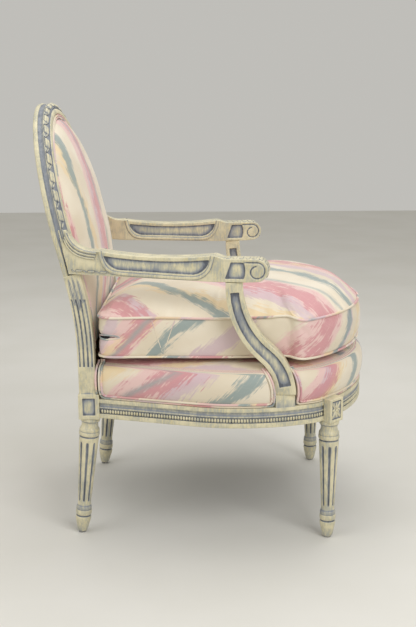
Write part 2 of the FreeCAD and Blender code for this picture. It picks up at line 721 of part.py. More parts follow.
def rear_stile():
    """Raked turned leg, panelled block, fluted bent post and the moulded length under the arch."""
    leg = turned_leg()
    leg.rotate(vec(0, 0, LEG_TOP_Z), vec(1, 0, 0), math.degrees(math.atan2(REAR_FOOT_OFFSET, LEG_TOP_Z)))
    leg.translate(vec(REAR_BLOCK_X, REAR_BLOCK_Y, 0))
    border = REAR_PANEL_BORDER
    panel = box(REAR_BLOCK_OUTER_X - BLOCK_PANEL_DEPTH, REAR_BLOCK_OUTER_X,
                REAR_BLOCK_FRONT_Y + border, REAR_BLOCK_REAR_Y - border,
                LEG_TOP_Z + border, REAR_BLOCK_TOP_Z - border)
    block = rear_block().cut(panel)
    joint = SPRING_POINT + STILE_DOWN * MOULDED_STILE_LENGTH
    blank = bent_slab(0, FRAME_DEPTH, 0, SEAT_HALF_WIDTH, REAR_BLOCK_TOP_Z, ARCH_CENTRE_S)
    post = blank.common(lean_strip(0, FRAME_WIDTH)).cut(half_space(joint, STILE_DOWN * -1))
    rebate = bent_slab(FRAME_DEPTH - PAD_REBATE_DEPTH, 2 * FRAME_DEPTH, 0, SEAT_HALF_WIDTH,
                       LOWER_BACK_RAIL_Z, ARCH_CENTRE_S)
    post = post.cut(rebate.common(lean_strip(FRAME_WIDTH - PAD_REBATE_WIDTH, 2 * FRAME_WIDTH)))
    post = post.cut(post_flutes())
    moulded = Part.Face(frame_section(spring_place)).extrude(STILE_DOWN * MOULDED_STILE_LENGTH)
    stile = leg.fuse([block, post, moulded])
    return main_solid(stile.cut(floor_cut()))


def stile_inner_x(z):
    share = (z - REAR_BLOCK_TOP_Z) / (SPRING_POINT.z - REAR_BLOCK_TOP_Z)
    return STILE_FOOT_X + share * (SPRING_X - STILE_FOOT_X) - FRAME_WIDTH / math.cos(LEAN)


def lower_back_rail(stile):
    rear = REAR_RAIL_REAR_Y
    rail = box(-STILE_FOOT_X, STILE_FOOT_X, rear - BACK_RAIL_THICKNESS, rear,
               LOWER_BACK_RAIL_Z, LOWER_BACK_RAIL_Z + LOWER_BACK_RAIL_HEIGHT)
    return main_solid(rail.cut(stile).cut(mirrored(stile)))


# Arms, drawn in side view along the plank: run is measured back from the scroll's centre

ARM_REAR = back_point(SPRING_X - FRAME_WIDTH / 2, 0, FRAME_DEPTH)
ARM_SPLAY = math.atan2(SCROLL_X - ARM_REAR.x, ARM_REAR.y - SCROLL_Y)


def arm_place(aside):
    """Vertical plane along the arm, moved sideways from its middle, outward positive."""
    def place(run, z):
        x = SCROLL_X - run * math.sin(ARM_SPLAY) + aside * math.cos(ARM_SPLAY)
        y = SCROLL_Y + run * math.cos(ARM_SPLAY) + aside * math.sin(ARM_SPLAY)
        return vec(x, y, z)
    return place


def arm_run(y):
    return (y - SCROLL_Y) / math.cos(ARM_SPLAY)


def arm_across(length):
    return vec(length * math.cos(ARM_SPLAY), length * math.sin(ARM_SPLAY), 0)


def arm_outline(place):
    """Scroll, flat top behind it, peak, dip of the elbow rest, shoulder and the sweep up the stile."""
    scroll_top = SCROLL_Z + SCROLL_RADIUS
    notch_run = ARM_PEAK_RUN - NOTCH_SETBACK
    into_stile = FRAME_DEPTH / 2
    top = back_point(0, (ARM_ROOT_TOP_Z - BEND_END_Z) / math.cos(RAKE), FRAME_DEPTH)
    low = back_point(0, (ARM_ROOT_UNDERSIDE_Z - BEND_END_Z) / math.cos(RAKE), FRAME_DEPTH)
    top_run = arm_run(top.y)
    low_run = arm_run(low.y)
    sweep_run = ARM_SHOULDER_RUN + ARM_SWEEP_RUN_SHARE * (top_run - ARM_SHOULDER_RUN)
    sweep_z = ARM_SHOULDER_Z + ARM_SWEEP_RISE_SHARE * (ARM_ROOT_TOP_Z - ARM_SHOULDER_Z)
    dip_run = (ARM_PEAK_RUN + ARM_SHOULDER_RUN) / 2
    steps = [
        (notch_run, scroll_top),
        (ARM_PEAK_RUN, ARM_PEAK_Z),
        (dip_run, ARM_DIP_Z, ARM_SHOULDER_RUN, ARM_SHOULDER_Z),
        (sweep_run, sweep_z, top_run, ARM_ROOT_TOP_Z),
        (top_run + into_stile, ARM_ROOT_TOP_Z),
        (low_run + into_stile, ARM_ROOT_UNDERSIDE_Z),
        (low_run, ARM_ROOT_UNDERSIDE_Z),
        (ARM_PEAK_RUN, ARM_UNDERSIDE_Z),
        (SCROLL_RADIUS, ARM_UNDERSIDE_Z),
        (0, SCROLL_Z - SCROLL_RADIUS),
        (-SCROLL_RADIUS, SCROLL_Z, 0, scroll_top),
    ]
    return outline(place, (0, scroll_top), steps)


def root_taper():
    """Wedge off the inner side of the arm's root, which leaves room for the back pad and its welt."""
    inner = -ARM_THICKNESS / 2
    rear_run = arm_run(ARM_REAR.y)
    corners = [
        (ARM_SHOULDER_RUN, inner),
        (rear_run, inner + ARM_ROOT_TAPER),
        (2 * rear_run, inner + ARM_ROOT_TAPER),
        (2 * rear_run, inner),
        (ARM_SHOULDER_RUN, inner),
    ]
    wire = outline(lambda run, aside: arm_place(aside)(run, ARM_UNDERSIDE_Z), corners[0], corners[1:])
    return prism(wire, UP * (ARM_ROOT_TOP_Z - ARM_UNDERSIDE_Z + ARM_BORDER))


def elbow_panel(place):
    """Boat-shaped sunk panel between the peak and the shoulder."""
    front_run = ARM_PEAK_RUN + ARM_BORDER
    rear_run = ARM_SHOULDER_RUN - ARM_BORDER
    low_front = ARM_UNDERSIDE_Z + ELBOW_LOW_FRONT_RISE
    low_rear = ARM_ROOT_UNDERSIDE_Z + ARM_BORDER
    top_front = ARM_DIP_Z - ELBOW_TOP_FRONT_DROP
    top_rear = ARM_SHOULDER_Z - ARM_BORDER
    mid_run = (front_run + rear_run) / 2
    steps = [
        (mid_run, ARM_DIP_Z - ELBOW_DIP_DROP, rear_run, top_rear),
        (rear_run - ELBOW_REAR_EASE, low_rear + ARM_BORDER, rear_run - ELBOW_BEND, low_rear),
        (front_run + ELBOW_BEND, low_front),
        (front_run + ELBOW_FRONT_EASE, low_front + ELBOW_DIP_DROP, front_run, top_front),
    ]
    return outline(place, (front_run, top_front), steps)


def scroll_panel(place):
    """Small sunk panel between the peak and the volute."""
    low_z = ARM_UNDERSIDE_Z + VOLUTE_BORDER
    top_z = SCROLL_Z + SCROLL_RADIUS - VOLUTE_BORDER
    front_run = SCROLL_RADIUS + VOLUTE_BORDER / 2
    steps = [
        (ARM_PEAK_RUN - SCROLL_PANEL_TOP_SETBACK, top_z),
        (ARM_PEAK_RUN - SCROLL_PANEL_LOW_SETBACK, low_z),
        (front_run, low_z),
        (front_run - VOLUTE_BORDER / 2, SCROLL_Z, front_run, top_z),
    ]
    return outline(place, (front_run, top_z), steps)


def volute(place):
    """Spiral channel of two half turns that close in on the scroll's eye."""
    half = VOLUTE_GROOVE_WIDTH / 2
    outer = SCROLL_RADIUS - VOLUTE_BORDER
    inner = outer - VOLUTE_PITCH / 2
    eye_z = SCROLL_Z - VOLUTE_PITCH / 2
    tail = SCROLL_RADIUS + VOLUTE_BORDER / 2
    steps = [
        (0, SCROLL_Z + outer + half),
        (-outer - half, SCROLL_Z, 0, SCROLL_Z - outer - half),
        (inner + half, eye_z, 0, eye_z + inner + half),
        (0, eye_z + inner - half),
        (inner - half, eye_z, 0, eye_z - inner + half),
        (half - outer, SCROLL_Z, 0, SCROLL_Z + outer - half),
        (tail, SCROLL_Z + outer - half),
        (tail, SCROLL_Z + outer + half),
    ]
    return outline(place, (tail, SCROLL_Z + outer + half), steps)


def arm():
    half = ARM_THICKNESS / 2
    plank = prism(arm_outline(arm_place(-half)), arm_across(ARM_THICKNESS)).cut(root_taper())
    for side in (-1, 1):
        face = arm_place(side * half)
        panel_depth = arm_across(-side * ARM_PANEL_DEPTH)
        groove_depth = arm_across(-side * VOLUTE_GROOVE_DEPTH)
        sunk = [prism(elbow_panel(face), panel_depth), prism(scroll_panel(face), panel_depth)]
        plank = plank.cut(sunk + [prism(volute(face), groove_depth)])
    return plank


# Arm posts

def post_centre(share):
    """Point on the S of the post and the direction across it, from the top (0) to the foot (1)."""
    swing = math.radians(POST_SWING)
    split = POST_UPPER_RADIUS / (POST_UPPER_RADIUS + POST_LOWER_RADIUS)
    top_z = RAIL_TOP_Z + POST_DROP
    if share <= split:
        angle = swing * share / split
        y = POST_TOP_Y - POST_UPPER_RADIUS * (1 - math.cos(angle))
        z = top_z - POST_UPPER_RADIUS * math.sin(angle)
    else:
        angle = swing * (1 - share) / (1 - split)
        y = POST_FOOT_Y + POST_LOWER_RADIUS * (1 - math.cos(angle))
        z = RAIL_TOP_Z + POST_LOWER_RADIUS * math.sin(angle)
    return (y, z), (math.cos(angle), -math.sin(angle))


def post_edge(share, side, margin):
    (y, z), (ay, az) = post_centre(share)
    half = (POST_TOP_WIDTH + (POST_FOOT_WIDTH - POST_TOP_WIDTH) * share) / 2 + margin
    return (y + side * half * ay, z + side * half * az)


def post_outline(x, margin, top_share, foot_share, scribe):
    """Side view of the post, grown or shrunk by a margin, between two shares of its length."""
    split = POST_UPPER_RADIUS / (POST_UPPER_RADIUS + POST_LOWER_RADIUS)
    rear = [post_edge(top_share, 1, margin)]
    front = [post_edge(top_share, -1, margin)]
    for first, last in ((top_share, split), (split, foot_share)):
        rear.append(post_edge((first + last) / 2, 1, margin) + post_edge(last, 1, margin))
        front.append(post_edge((first + last) / 2, -1, margin) + post_edge(last, -1, margin))
    top = (rear[0][0], rear[0][1] + scribe)
    foot = (rear[2][2], rear[2][3] - scribe)
    front_foot = (front[2][2], front[2][3] - scribe)
    front_top = (front[0][0], front[0][1] + scribe)
    up = [front[2][2:], front[2][:2] + front[1][2:], front[1][:2] + front[0]]
    ends = [foot, front_foot] if scribe else []
    steps = ([rear[0]] if scribe else []) + rear[1:] + ends + up
    steps += [front_top, top] if scribe else [rear[0]]
    return outline(lambda y, z: vec(x, y, z), top if scribe else rear[0], steps)


def post_tilt():
    """Lean of the post from the rail out to the middle of the arm above it."""
    arm_x = arm_place(0)(arm_run(POST_TOP_Y), SCROLL_Z).x
    return math.degrees(math.atan2(arm_x - POST_FOOT_X, POST_DROP))


def post_blank(margin, thickness):
    wire = post_outline(POST_FOOT_X - thickness / 2, margin, 0, 1, POST_SCRIBE)
    blank = prism(wire, vec(thickness, 0, 0))
    for side in (-1, 1):
        face = POST_FOOT_X + side * thickness / 2
        channel = post_outline(face, -POST_BORDER, POST_CHANNEL_TOP_SHARE, POST_CHANNEL_FOOT_SHARE, 0)
        if margin == 0:
            blank = blank.cut(prism(channel, vec(-side * POST_CHANNEL_DEPTH, 0, 0)))
    blank.rotate(vec(POST_FOOT_X, 0, RAIL_TOP_Z), vec(0, 1, 0), post_tilt())
    return blank


def arm_post(arm_shape):
    post = post_blank(0, POST_THICKNESS).cut(arm_shape)
    return main_solid(post.cut(half_space(vec(0, 0, RAIL_TOP_Z), UP * -1)))


# Joinery

def left_joints():
    """Each tenon of the left half: middle of its shoulder, direction, upright direction and height."""
    turn = math.radians(FRONT_BLOCK_TURN)
    to_corner = vec(math.sin(turn), -math.cos(turn), 0)
    to_side = vec(math.cos(turn), math.sin(turn), 0)
    block_half = FRONT_BLOCK_WIDTH / 2
    leg = vec(FRONT_LEG_X, FRONT_LEG_Y, RAIL_TENON_Z) - to_corner * BLOCK_TENON_SETBACK
    side_end = vec(side_line_x(REAR_BLOCK_FRONT_Y, RAIL_TENON_SETBACK), REAR_BLOCK_FRONT_Y, RAIL_TENON_Z)
    rear_end = vec(REAR_RAIL_END_X, REAR_RAIL_REAR_Y - RAIL_THICKNESS / 2, RAIL_TENON_Z)
    low_z = LOWER_BACK_RAIL_Z + LOWER_BACK_RAIL_HEIGHT / 2
    low_end = vec(stile_inner_x(low_z), REAR_RAIL_REAR_Y - BACK_RAIL_THICKNESS / 2, low_z)
    arch_end = spring_place(-FRAME_WIDTH / 2, CREST_TENON_DEPTH)
    outward = spring_place(1, 0) - spring_place(0, 0)
    stile_face = back_point(0, (ARM_TENON_Z - BEND_END_Z) / math.cos(RAKE), FRAME_DEPTH)
    arm_end = arm_place(0)(arm_run(stile_face.y), ARM_TENON_Z)
    rearward = vec(-math.sin(ARM_SPLAY), math.cos(ARM_SPLAY), 0)
    tilt = math.radians(post_tilt())
    post_axis = vec(math.sin(tilt), 0, math.cos(tilt))
    foot = vec(POST_FOOT_X, POST_TOP_Y, RAIL_TOP_Z)
    head = foot + post_axis * ((ARM_UNDERSIDE_Z - RAIL_TOP_Z) / math.cos(tilt))
    foot_end = vec(POST_FOOT_X - TACK_REBATE / 2, POST_FOOT_Y, RAIL_TOP_Z)
    sideways = vec(1, 0, 0)
    backward = vec(0, 1, 0)
    return {
        "front_rail": (leg - to_side * block_half, to_side, UP, RAIL_TENON_HEIGHT),
        "side_rail_front": (leg + to_side * block_half, to_side * -1, UP, RAIL_TENON_HEIGHT),
        "side_rail_rear": (side_end, backward, UP, RAIL_TENON_HEIGHT),
        "rear_rail": (rear_end, sideways, UP, RAIL_TENON_HEIGHT),
        "lower_back_rail": (low_end, sideways, UP, BACK_TENON_HEIGHT),
        "crest_rail": (arch_end, STILE_DOWN, outward, CREST_TENON_WIDTH),
        "arm": (arm_end, rearward, UP, ARM_TENON_HEIGHT),
        "post_head": (head, post_axis, backward, POST_HEAD_TENON_WIDTH),
        "post_foot": (foot_end, UP * -1, backward, POST_FOOT_TENON_WIDTH),
    }


def tenon(joint):
    middle, along, up, height = joint
    return oriented_box(middle, along, up, (-TENON_ROOT, TENON_LENGTH), height, TENON_THICKNESS)


def mortise(joint):
    middle, along, up, height = joint
    ends = (-TENON_ROOT, TENON_LENGTH + MORTISE_END_ROOM)
    return oriented_box(middle, along, up, ends, height + 2 * MORTISE_CLEARANCE,
                        TENON_THICKNESS + 2 * MORTISE_CLEARANCE)


def with_tenons(shape, joints):
    return main_solid(shape.fuse([tenon(joint) for joint in joints]).removeSplitter())


def with_end_tenons(shape, joint):
    """Cross rail with the same tenon on its left and right end."""
    end = tenon(joint)
    return main_solid(shape.fuse([end, mirrored(end)]).removeSplitter())


def with_mortises(shape, joints):
    return main_solid(shape.cut([mortise(joint) for joint in joints]))


def both_sides(solids):
    return Part.makeCompound(solids + [mirrored(solid) for solid in solids])


def corner_brace(centre, turn, around):
    """Glue block across a corner of the seat frame, scribed to the pieces that it meets."""
    brace = box(-BRACE_LENGTH / 2, BRACE_LENGTH / 2, -BRACE_WIDTH / 2, BRACE_WIDTH / 2,
                RAIL_BOTTOM_Z + BASE_FILLET_HEIGHT, RAIL_BOTTOM_Z + BASE_FILLET_HEIGHT + BRACE_HEIGHT)
    brace.rotate(ORIGIN, UP, turn)
    brace.translate(centre)
    return main_solid(brace.cut(around))


def glide_pin(x, y, grow):
    half = GLIDE_PIN_WIDTH / 2 + grow
    return box(x - half, x + half, y - half, y + half, GLIDE_HEIGHT, GLIDE_HEIGHT + GLIDE_PIN_LENGTH + grow)


def glide(x, y):
    turns = [2 * math.pi * side / GLIDE_SIDES for side in range(GLIDE_SIDES)]
    corners = [polar((x, y), GLIDE_RADIUS, turn) for turn in turns]
    disc = prism(outline(flat_at(0), corners[0], corners[1:] + corners[:1]), UP * GLIDE_HEIGHT)
    return disc.fuse(glide_pin(x, y, 0))


# Upholstery of the seat

def seat_straps(lengthwise):
    """Webbing on the tops of the rails: straps from front to rear, or those across that lie over them."""
    inside = seat_outline(STRAP_INSET, RAIL_TOP_Z, REAR_RAIL_REAR_Y - TACK_REBATE)
    bed = prism(inside, UP * (2 * STRAP_THICKNESS))
    half = STRAP_WIDTH / 2
    reach = SEAT_HALF_WIDTH * 2
    straps = []
    if lengthwise:
        for index in range(-1, 2):
            x = index * LENGTHWISE_STRAP_PITCH
            straps.append(box(x - half, x + half, -reach, reach, RAIL_TOP_Z, RAIL_TOP_Z + STRAP_THICKNESS))
    else:
        for index in range(CROSSWISE_STRAP_COUNT):
            y = FIRST_CROSSWISE_STRAP_Y + index * CROSSWISE_STRAP_PITCH
            straps.append(box(-reach, reach, y - half, y + half, RAIL_TOP_Z + STRAP_THICKNESS, STRAP_TOP_Z))
    return Part.makeCompound([main_solid(strap.common(bed)) for strap in straps])


def seat_deck(around):
    """Stuffed platform: a crowned top over a rounded border that laps into the rebate of the rails."""
    tuck = 2 * CORD_RADIUS + SOFT_GAP * 2
    skirt_z = RAIL_FACE_TOP_Z + SOFT_GAP
    skirt_top = skirt_z + 4 * CORD_RADIUS + SOFT_GAP
    plan = seat_outline(0, 0, DECK_REAR_Y)
    rise = DECK_EDGE_Z - skirt_top
    stations = [(skirt_z, tuck), (skirt_top, tuck), (skirt_top, 0.0)]
    stations += [(skirt_top + up * rise, -out * DECK_BULGE) for up, out in DECK_BORDER_STEPS]
    stations += [(DECK_EDGE_Z, DECK_EDGE_INSET), (DECK_EDGE_Z + DECK_CROWN, DECK_CROWN_INSET)]
    deck = stacked([plan_ring(plan, 1 - inset / SEAT_HALF_WIDTH, z) for z, inset in stations])
    well = prism(seat_outline(TACK_REBATE - SOFT_GAP, RAIL_BOTTOM_Z, DECK_REAR_Y + RAIL_THICKNESS),
                 UP * (STRAP_TOP_Z + SOFT_GAP - RAIL_BOTTOM_Z))
    rear_cut = half_space(vec(0, DECK_REAR_Y, 0), vec(0, 1, 0))
    corner = front_block(SOFT_GAP, LEG_TOP_Z, FRONT_BLOCK_TOP_Z + SOFT_GAP)
    return main_solid(deck.cut([well, rear_cut, corner, mirrored(corner)] + around))


def dust_cover(around):
    sheet = prism(seat_outline(DUST_COVER_INSET, RAIL_BOTTOM_Z, REAR_RAIL_REAR_Y - TACK_REBATE),
                  UP * -DUST_COVER_THICKNESS)
    return main_solid(sheet.cut(around))


# Upholstery of the back

PAD_BASE = FRAME_DEPTH - PAD_REBATE_DEPTH + BURLAP_THICKNESS + 2 * SOFT_GAP
PAD_SHOULDER = PAD_BASE + PAD_FLANGE
PAD_CROWN_STEPS = ((0.62, 0.64), (0.0, 1.0))


def pad_half_section(width, crown, lift):
    """Half of the pad's section, rear face to middle: flange under the welt, then the stuffed crown."""
    inner = width - 4 * CORD_RADIUS - SOFT_GAP
    shoulder = PAD_SHOULDER + lift
    rise = FRAME_DEPTH + crown - shoulder
    points = [(width, PAD_BASE), (width, PAD_SHOULDER), (inner, PAD_SHOULDER), (inner, shoulder)]
    return points + [(share * inner, shoulder + up * rise) for share, up in PAD_CROWN_STEPS]


def pad_section(width, crown, lift, place):
    half = pad_half_section(width, crown, lift)
    other = [(-x, t) for x, t in reversed(half[:-1])]
    return outline(place, (-width, PAD_BASE), half + other)


def bend_place(angle):
    """Plane across the back inside the bend, turned from the vertical post by an angle."""
    def place(x, t):
        radius = BEND_RADIUS + t
        y = STILE_REAR_Y + BEND_RADIUS - radius * math.cos(angle)
        return vec(x, y, BEND_START_Z + radius * math.sin(angle))
    return place


def raked_place(s):
    return lambda x, t: back_point(x, s, t)


def pad_half_width(z):
    return stile_inner_x(z) + PAD_REBATE_WIDTH - 2 * SOFT_GAP


def back_pad():
    """Stuffed inside back: a dome under the arch that runs on as a crowned panel down to the seat."""
    width = ARCH_RADIUS - FRAME_WIDTH + PAD_REBATE_WIDTH - 2 * SOFT_GAP
    lift = 4 * CORD_RADIUS
    half = pad_half_section(width, BACK_CROWN, lift)
    fan = outline(lambda r, t: back_point(r, ARCH_CENTRE_S, t), (0, PAD_BASE), half + [(0, PAD_BASE)])
    dome = Part.Face(fan).revolve(ARCH_CENTRE, FORWARD, 180)
    wires = [pad_section(width, BACK_CROWN, lift, raked_place(ARCH_CENTRE_S)),
             pad_section(width * math.cos(LEAN), BACK_CROWN, lift, raked_place(SPRING_S))]
    for share, crown_share, lift_share in PAD_STATIONS:
        angle = share * RAKE
        half_width = pad_half_width(BEND_START_Z + BEND_RADIUS * math.sin(angle))
        crown = BACK_CROWN * crown_share
        wires.append(pad_section(half_width, crown, lift * lift_share, bend_place(angle)))
    return main_solid(dome.fuse(Part.makeLoft(wires, True, True)).removeSplitter())


def back_sheet(t0, t1, gap, bottom_z, foot):
    """Thin layer of the back between two depths: a fan under the arch and a bent panel between the stiles.

    The gap is measured outward from the frame's outer edge; foot lists points below the stiles.
    """
    reach = ARCH_RADIUS + gap
    def spoke(r, t):
        return back_point(r * math.cos(LEAN), ARCH_CENTRE_S - r * math.sin(LEAN), t)
    fan = outline(spoke, (0, t0), [(reach, t0), (reach, t1), (0, t1), (0, t0)])
    fan = Part.Face(fan).revolve(ARCH_CENTRE, FORWARD, 180 + 2 * math.degrees(LEAN))
    slab = bent_slab(t0, t1, -SEAT_HALF_WIDTH, SEAT_HALF_WIDTH, bottom_z, ARCH_CENTRE_S)
    edge = FRAME_WIDTH + gap
    half = foot + [
        (stile_inner_x(REAR_BLOCK_TOP_Z) + edge, REAR_BLOCK_TOP_Z),
        (stile_inner_x(SPRING_POINT.z) + edge, SPRING_POINT.z),
        (stile_inner_x(SPRING_POINT.z) + edge, ARCH_CENTRE.z + FRAME_DEPTH),
    ]
    other = [(-x, z) for x, z in reversed(half)]
    wire = outline(lambda x, z: vec(x, 0, z), half[0], half[1:] + other + half[:1])
    panel = slab.common(prism(wire, vec(0, 2 * STILE_REAR_Y, 0)))
    return main_solid(fan.fuse(panel).removeSplitter())


def outside_back():
    half = REAR_RAIL_END_X - SOFT_GAP
    foot = [(half, OUTSIDE_PANEL_BOTTOM_Z), (half, REAR_BLOCK_TOP_Z)]
    return back_sheet(OUTSIDE_PANEL_INSET, OUTSIDE_PANEL_INSET + OUTSIDE_PANEL_THICKNESS,
                      -FRAME_WIDTH - SOFT_GAP, OUTSIDE_PANEL_BOTTOM_Z, foot)


def back_burlap():
    base = FRAME_DEPTH - PAD_REBATE_DEPTH + SOFT_GAP / 2
    gap = PAD_REBATE_WIDTH - FRAME_WIDTH - 3 * SOFT_GAP
    bottom_z = LOWER_BACK_RAIL_Z + LOWER_BACK_RAIL_HEIGHT + SOFT_GAP
    return back_sheet(base, base + BURLAP_THICKNESS, gap, bottom_z, [])


def back_welt():
    """Double welt round the arch and down the stiles: two cords on one base, on the flange of the pad."""
    base = PAD_SHOULDER + SOFT_GAP / 2
    outer = PAD_REBATE_WIDTH - FRAME_WIDTH - SOFT_GAP
    crest = base + 2 * CORD_RADIUS
    side = base + CORD_RADIUS
    steps = [
        (outer, side),
        (outer - CORD_RADIUS, crest),
        (outer - 2 * CORD_RADIUS, side),
        (outer - 3 * CORD_RADIUS, crest),
        (outer - 4 * CORD_RADIUS, side),
        (outer - 4 * CORD_RADIUS, base),
        (outer, base),
    ]
    section = Part.Face(outline(spring_place, (outer, base), steps))
    arch = section.revolve(ARCH_CENTRE, FORWARD, 180 + 2 * math.degrees(LEAN))
    tail = section.extrude(STILE_DOWN * (SPRING_S / math.cos(LEAN)))
    return main_solid(arch.fuse([tail, mirrored(tail)]).removeSplitter())


# Loose cushion

def cushion_outline(grow, z):
    """T-shaped plan of the cushion, grown outward: rear corners, sides, ears and the rounded front."""
    inset = CUSHION_SETBACK - grow
    side_x = CUSHION_SIDE_X + grow
    rear_y = CUSHION_REAR_Y + grow
    corner = CUSHION_REAR_CORNER + grow
    side = SIDE_RAIL_RADIUS - CUSHION_SETBACK - EAR_RADIUS
    ear = (SIDE_CENTRE_X + math.sqrt(side ** 2 - (EAR_Y - SEAT_WIDEST_Y) ** 2), EAR_Y)
    nook_x = CUSHION_SIDE_X + EAR_RADIUS
    nook = (nook_x, EAR_Y + math.sqrt((2 * EAR_RADIUS) ** 2 - (nook_x - ear[0]) ** 2))
    across = direction_of(nook, ear)
    nook_radius = EAR_RADIUS - grow
    ear_radius = EAR_RADIUS + grow
    leave = direction_of(SIDE_CENTRE, ear)
    rear_corner = (side_x - corner, rear_y - corner)
    nook_first = math.pi
    nook_last = across + 2 * math.pi if across < 0 else across
    ear_first = across + math.pi
    ear_first = ear_first - 2 * math.pi if ear_first > math.pi else ear_first
    left = [
        (rear_corner[0], rear_y),
        arc_between(rear_corner, corner, math.pi / 2, 0),
        (side_x, nook[1]),
        arc_between(nook, nook_radius, nook_first, nook_last),
        arc_between(ear, ear_radius, ear_first, leave),
    ]
    front = front_steps(inset, leave)
    right = []
    starts = [(0, rear_y)] + [step[-2:] for step in left]
    for index in range(len(left) - 1, -1, -1):
        end = (-starts[index][0], starts[index][1])
        middle = left[index][:2] if len(left[index]) == 4 else None
        right.append((-middle[0], middle[1]) + end if middle else end)
    return outline(flat_at(z), (0, rear_y), left + front + right)


def seat_cushion():
    """Boxed cushion: upright sides between two seams, a full crown and a flatter underside."""
    plan = cushion_outline(0, 0)
    low = CUSHION_BOTTOM_SEAM_Z
    drop = low - DECK_EDGE_Z - DECK_CROWN - SOFT_GAP
    stations = [(share, low - down * drop) for share, down in CUSHION_BASE_STEPS]
    stations += [(1.0, low), (1.0, CUSHION_TOP_SEAM_Z)]
    stations += [(share, CUSHION_TOP_SEAM_Z + up * CUSHION_CROWN) for share, up in CUSHION_CROWN_STEPS]
    return stacked([plan_ring(plan, share, z) for share, z in stations])


def cushion_piping(z):
    """Cord sewn into a seam, along the cushion's outline."""
    middle = PIPING_RADIUS + SOFT_GAP
    points = plan_ring(cushion_outline(middle, 0), 1, z)
    path = Part.makePolygon(points + points[:1])
    turns = [2 * math.pi * side / CORD_SIDES for side in range(CORD_SIDES)]
    corners = [polar((CUSHION_REAR_Y + middle, z), PIPING_RADIUS, turn) for turn in turns]
    ring = outline(lambda y, height: vec(0, y, height), corners[0], corners[1:] + corners[:1])
    return path.makePipeShell([ring], True, False, 1)


ZIPPER_Z = (CUSHION_BOTTOM_SEAM_Z + CUSHION_TOP_SEAM_Z) / 2
ZIPPER_Y = CUSHION_REAR_Y + SOFT_GAP


def cushion_zipper():
    half = ZIPPER_LENGTH / 2
    tape = box(-half, half, ZIPPER_Y, ZIPPER_Y + ZIPPER_TAPE_THICKNESS,
               ZIPPER_Z - ZIPPER_TAPE_HEIGHT / 2, ZIPPER_Z + ZIPPER_TAPE_HEIGHT / 2)
    chain = box(-half, half, ZIPPER_Y, ZIPPER_Y + ZIPPER_TAPE_THICKNESS + ZIPPER_CHAIN_THICKNESS,
                ZIPPER_Z - ZIPPER_CHAIN_HEIGHT / 2, ZIPPER_Z + ZIPPER_CHAIN_HEIGHT / 2)
    return tape.fuse(chain).removeSplitter()


def zipper_slider():
    """Slider over the chain at the closed end, with its pull tab hanging down."""
    x0 = -ZIPPER_LENGTH / 2 + SOFT_GAP
    x1 = x0 + SLIDER_LENGTH
    face = ZIPPER_Y + ZIPPER_TAPE_THICKNESS + SOFT_GAP / 2
    groove_half = ZIPPER_CHAIN_HEIGHT / 2 + SOFT_GAP / 2
    groove_top = ZIPPER_Y + ZIPPER_TAPE_THICKNESS + ZIPPER_CHAIN_THICKNESS + SOFT_GAP / 2
    body = box(x0, x1, face, groove_top + SLIDER_WALL,
               ZIPPER_Z - SLIDER_HEIGHT / 2, ZIPPER_Z + SLIDER_HEIGHT / 2)
    body = body.cut(box(x0, x1, face, groove_top, ZIPPER_Z - groove_half, ZIPPER_Z + groove_half))
    middle = (x0 + x1) / 2
    pull = box(middle - PULL_WIDTH / 2, middle + PULL_WIDTH / 2, groove_top + SLIDER_WALL,
               groove_top + 2 * SLIDER_WALL, ZIPPER_Z - PULL_LENGTH, ZIPPER_Z)
    return body.fuse(pull).removeSplitter()


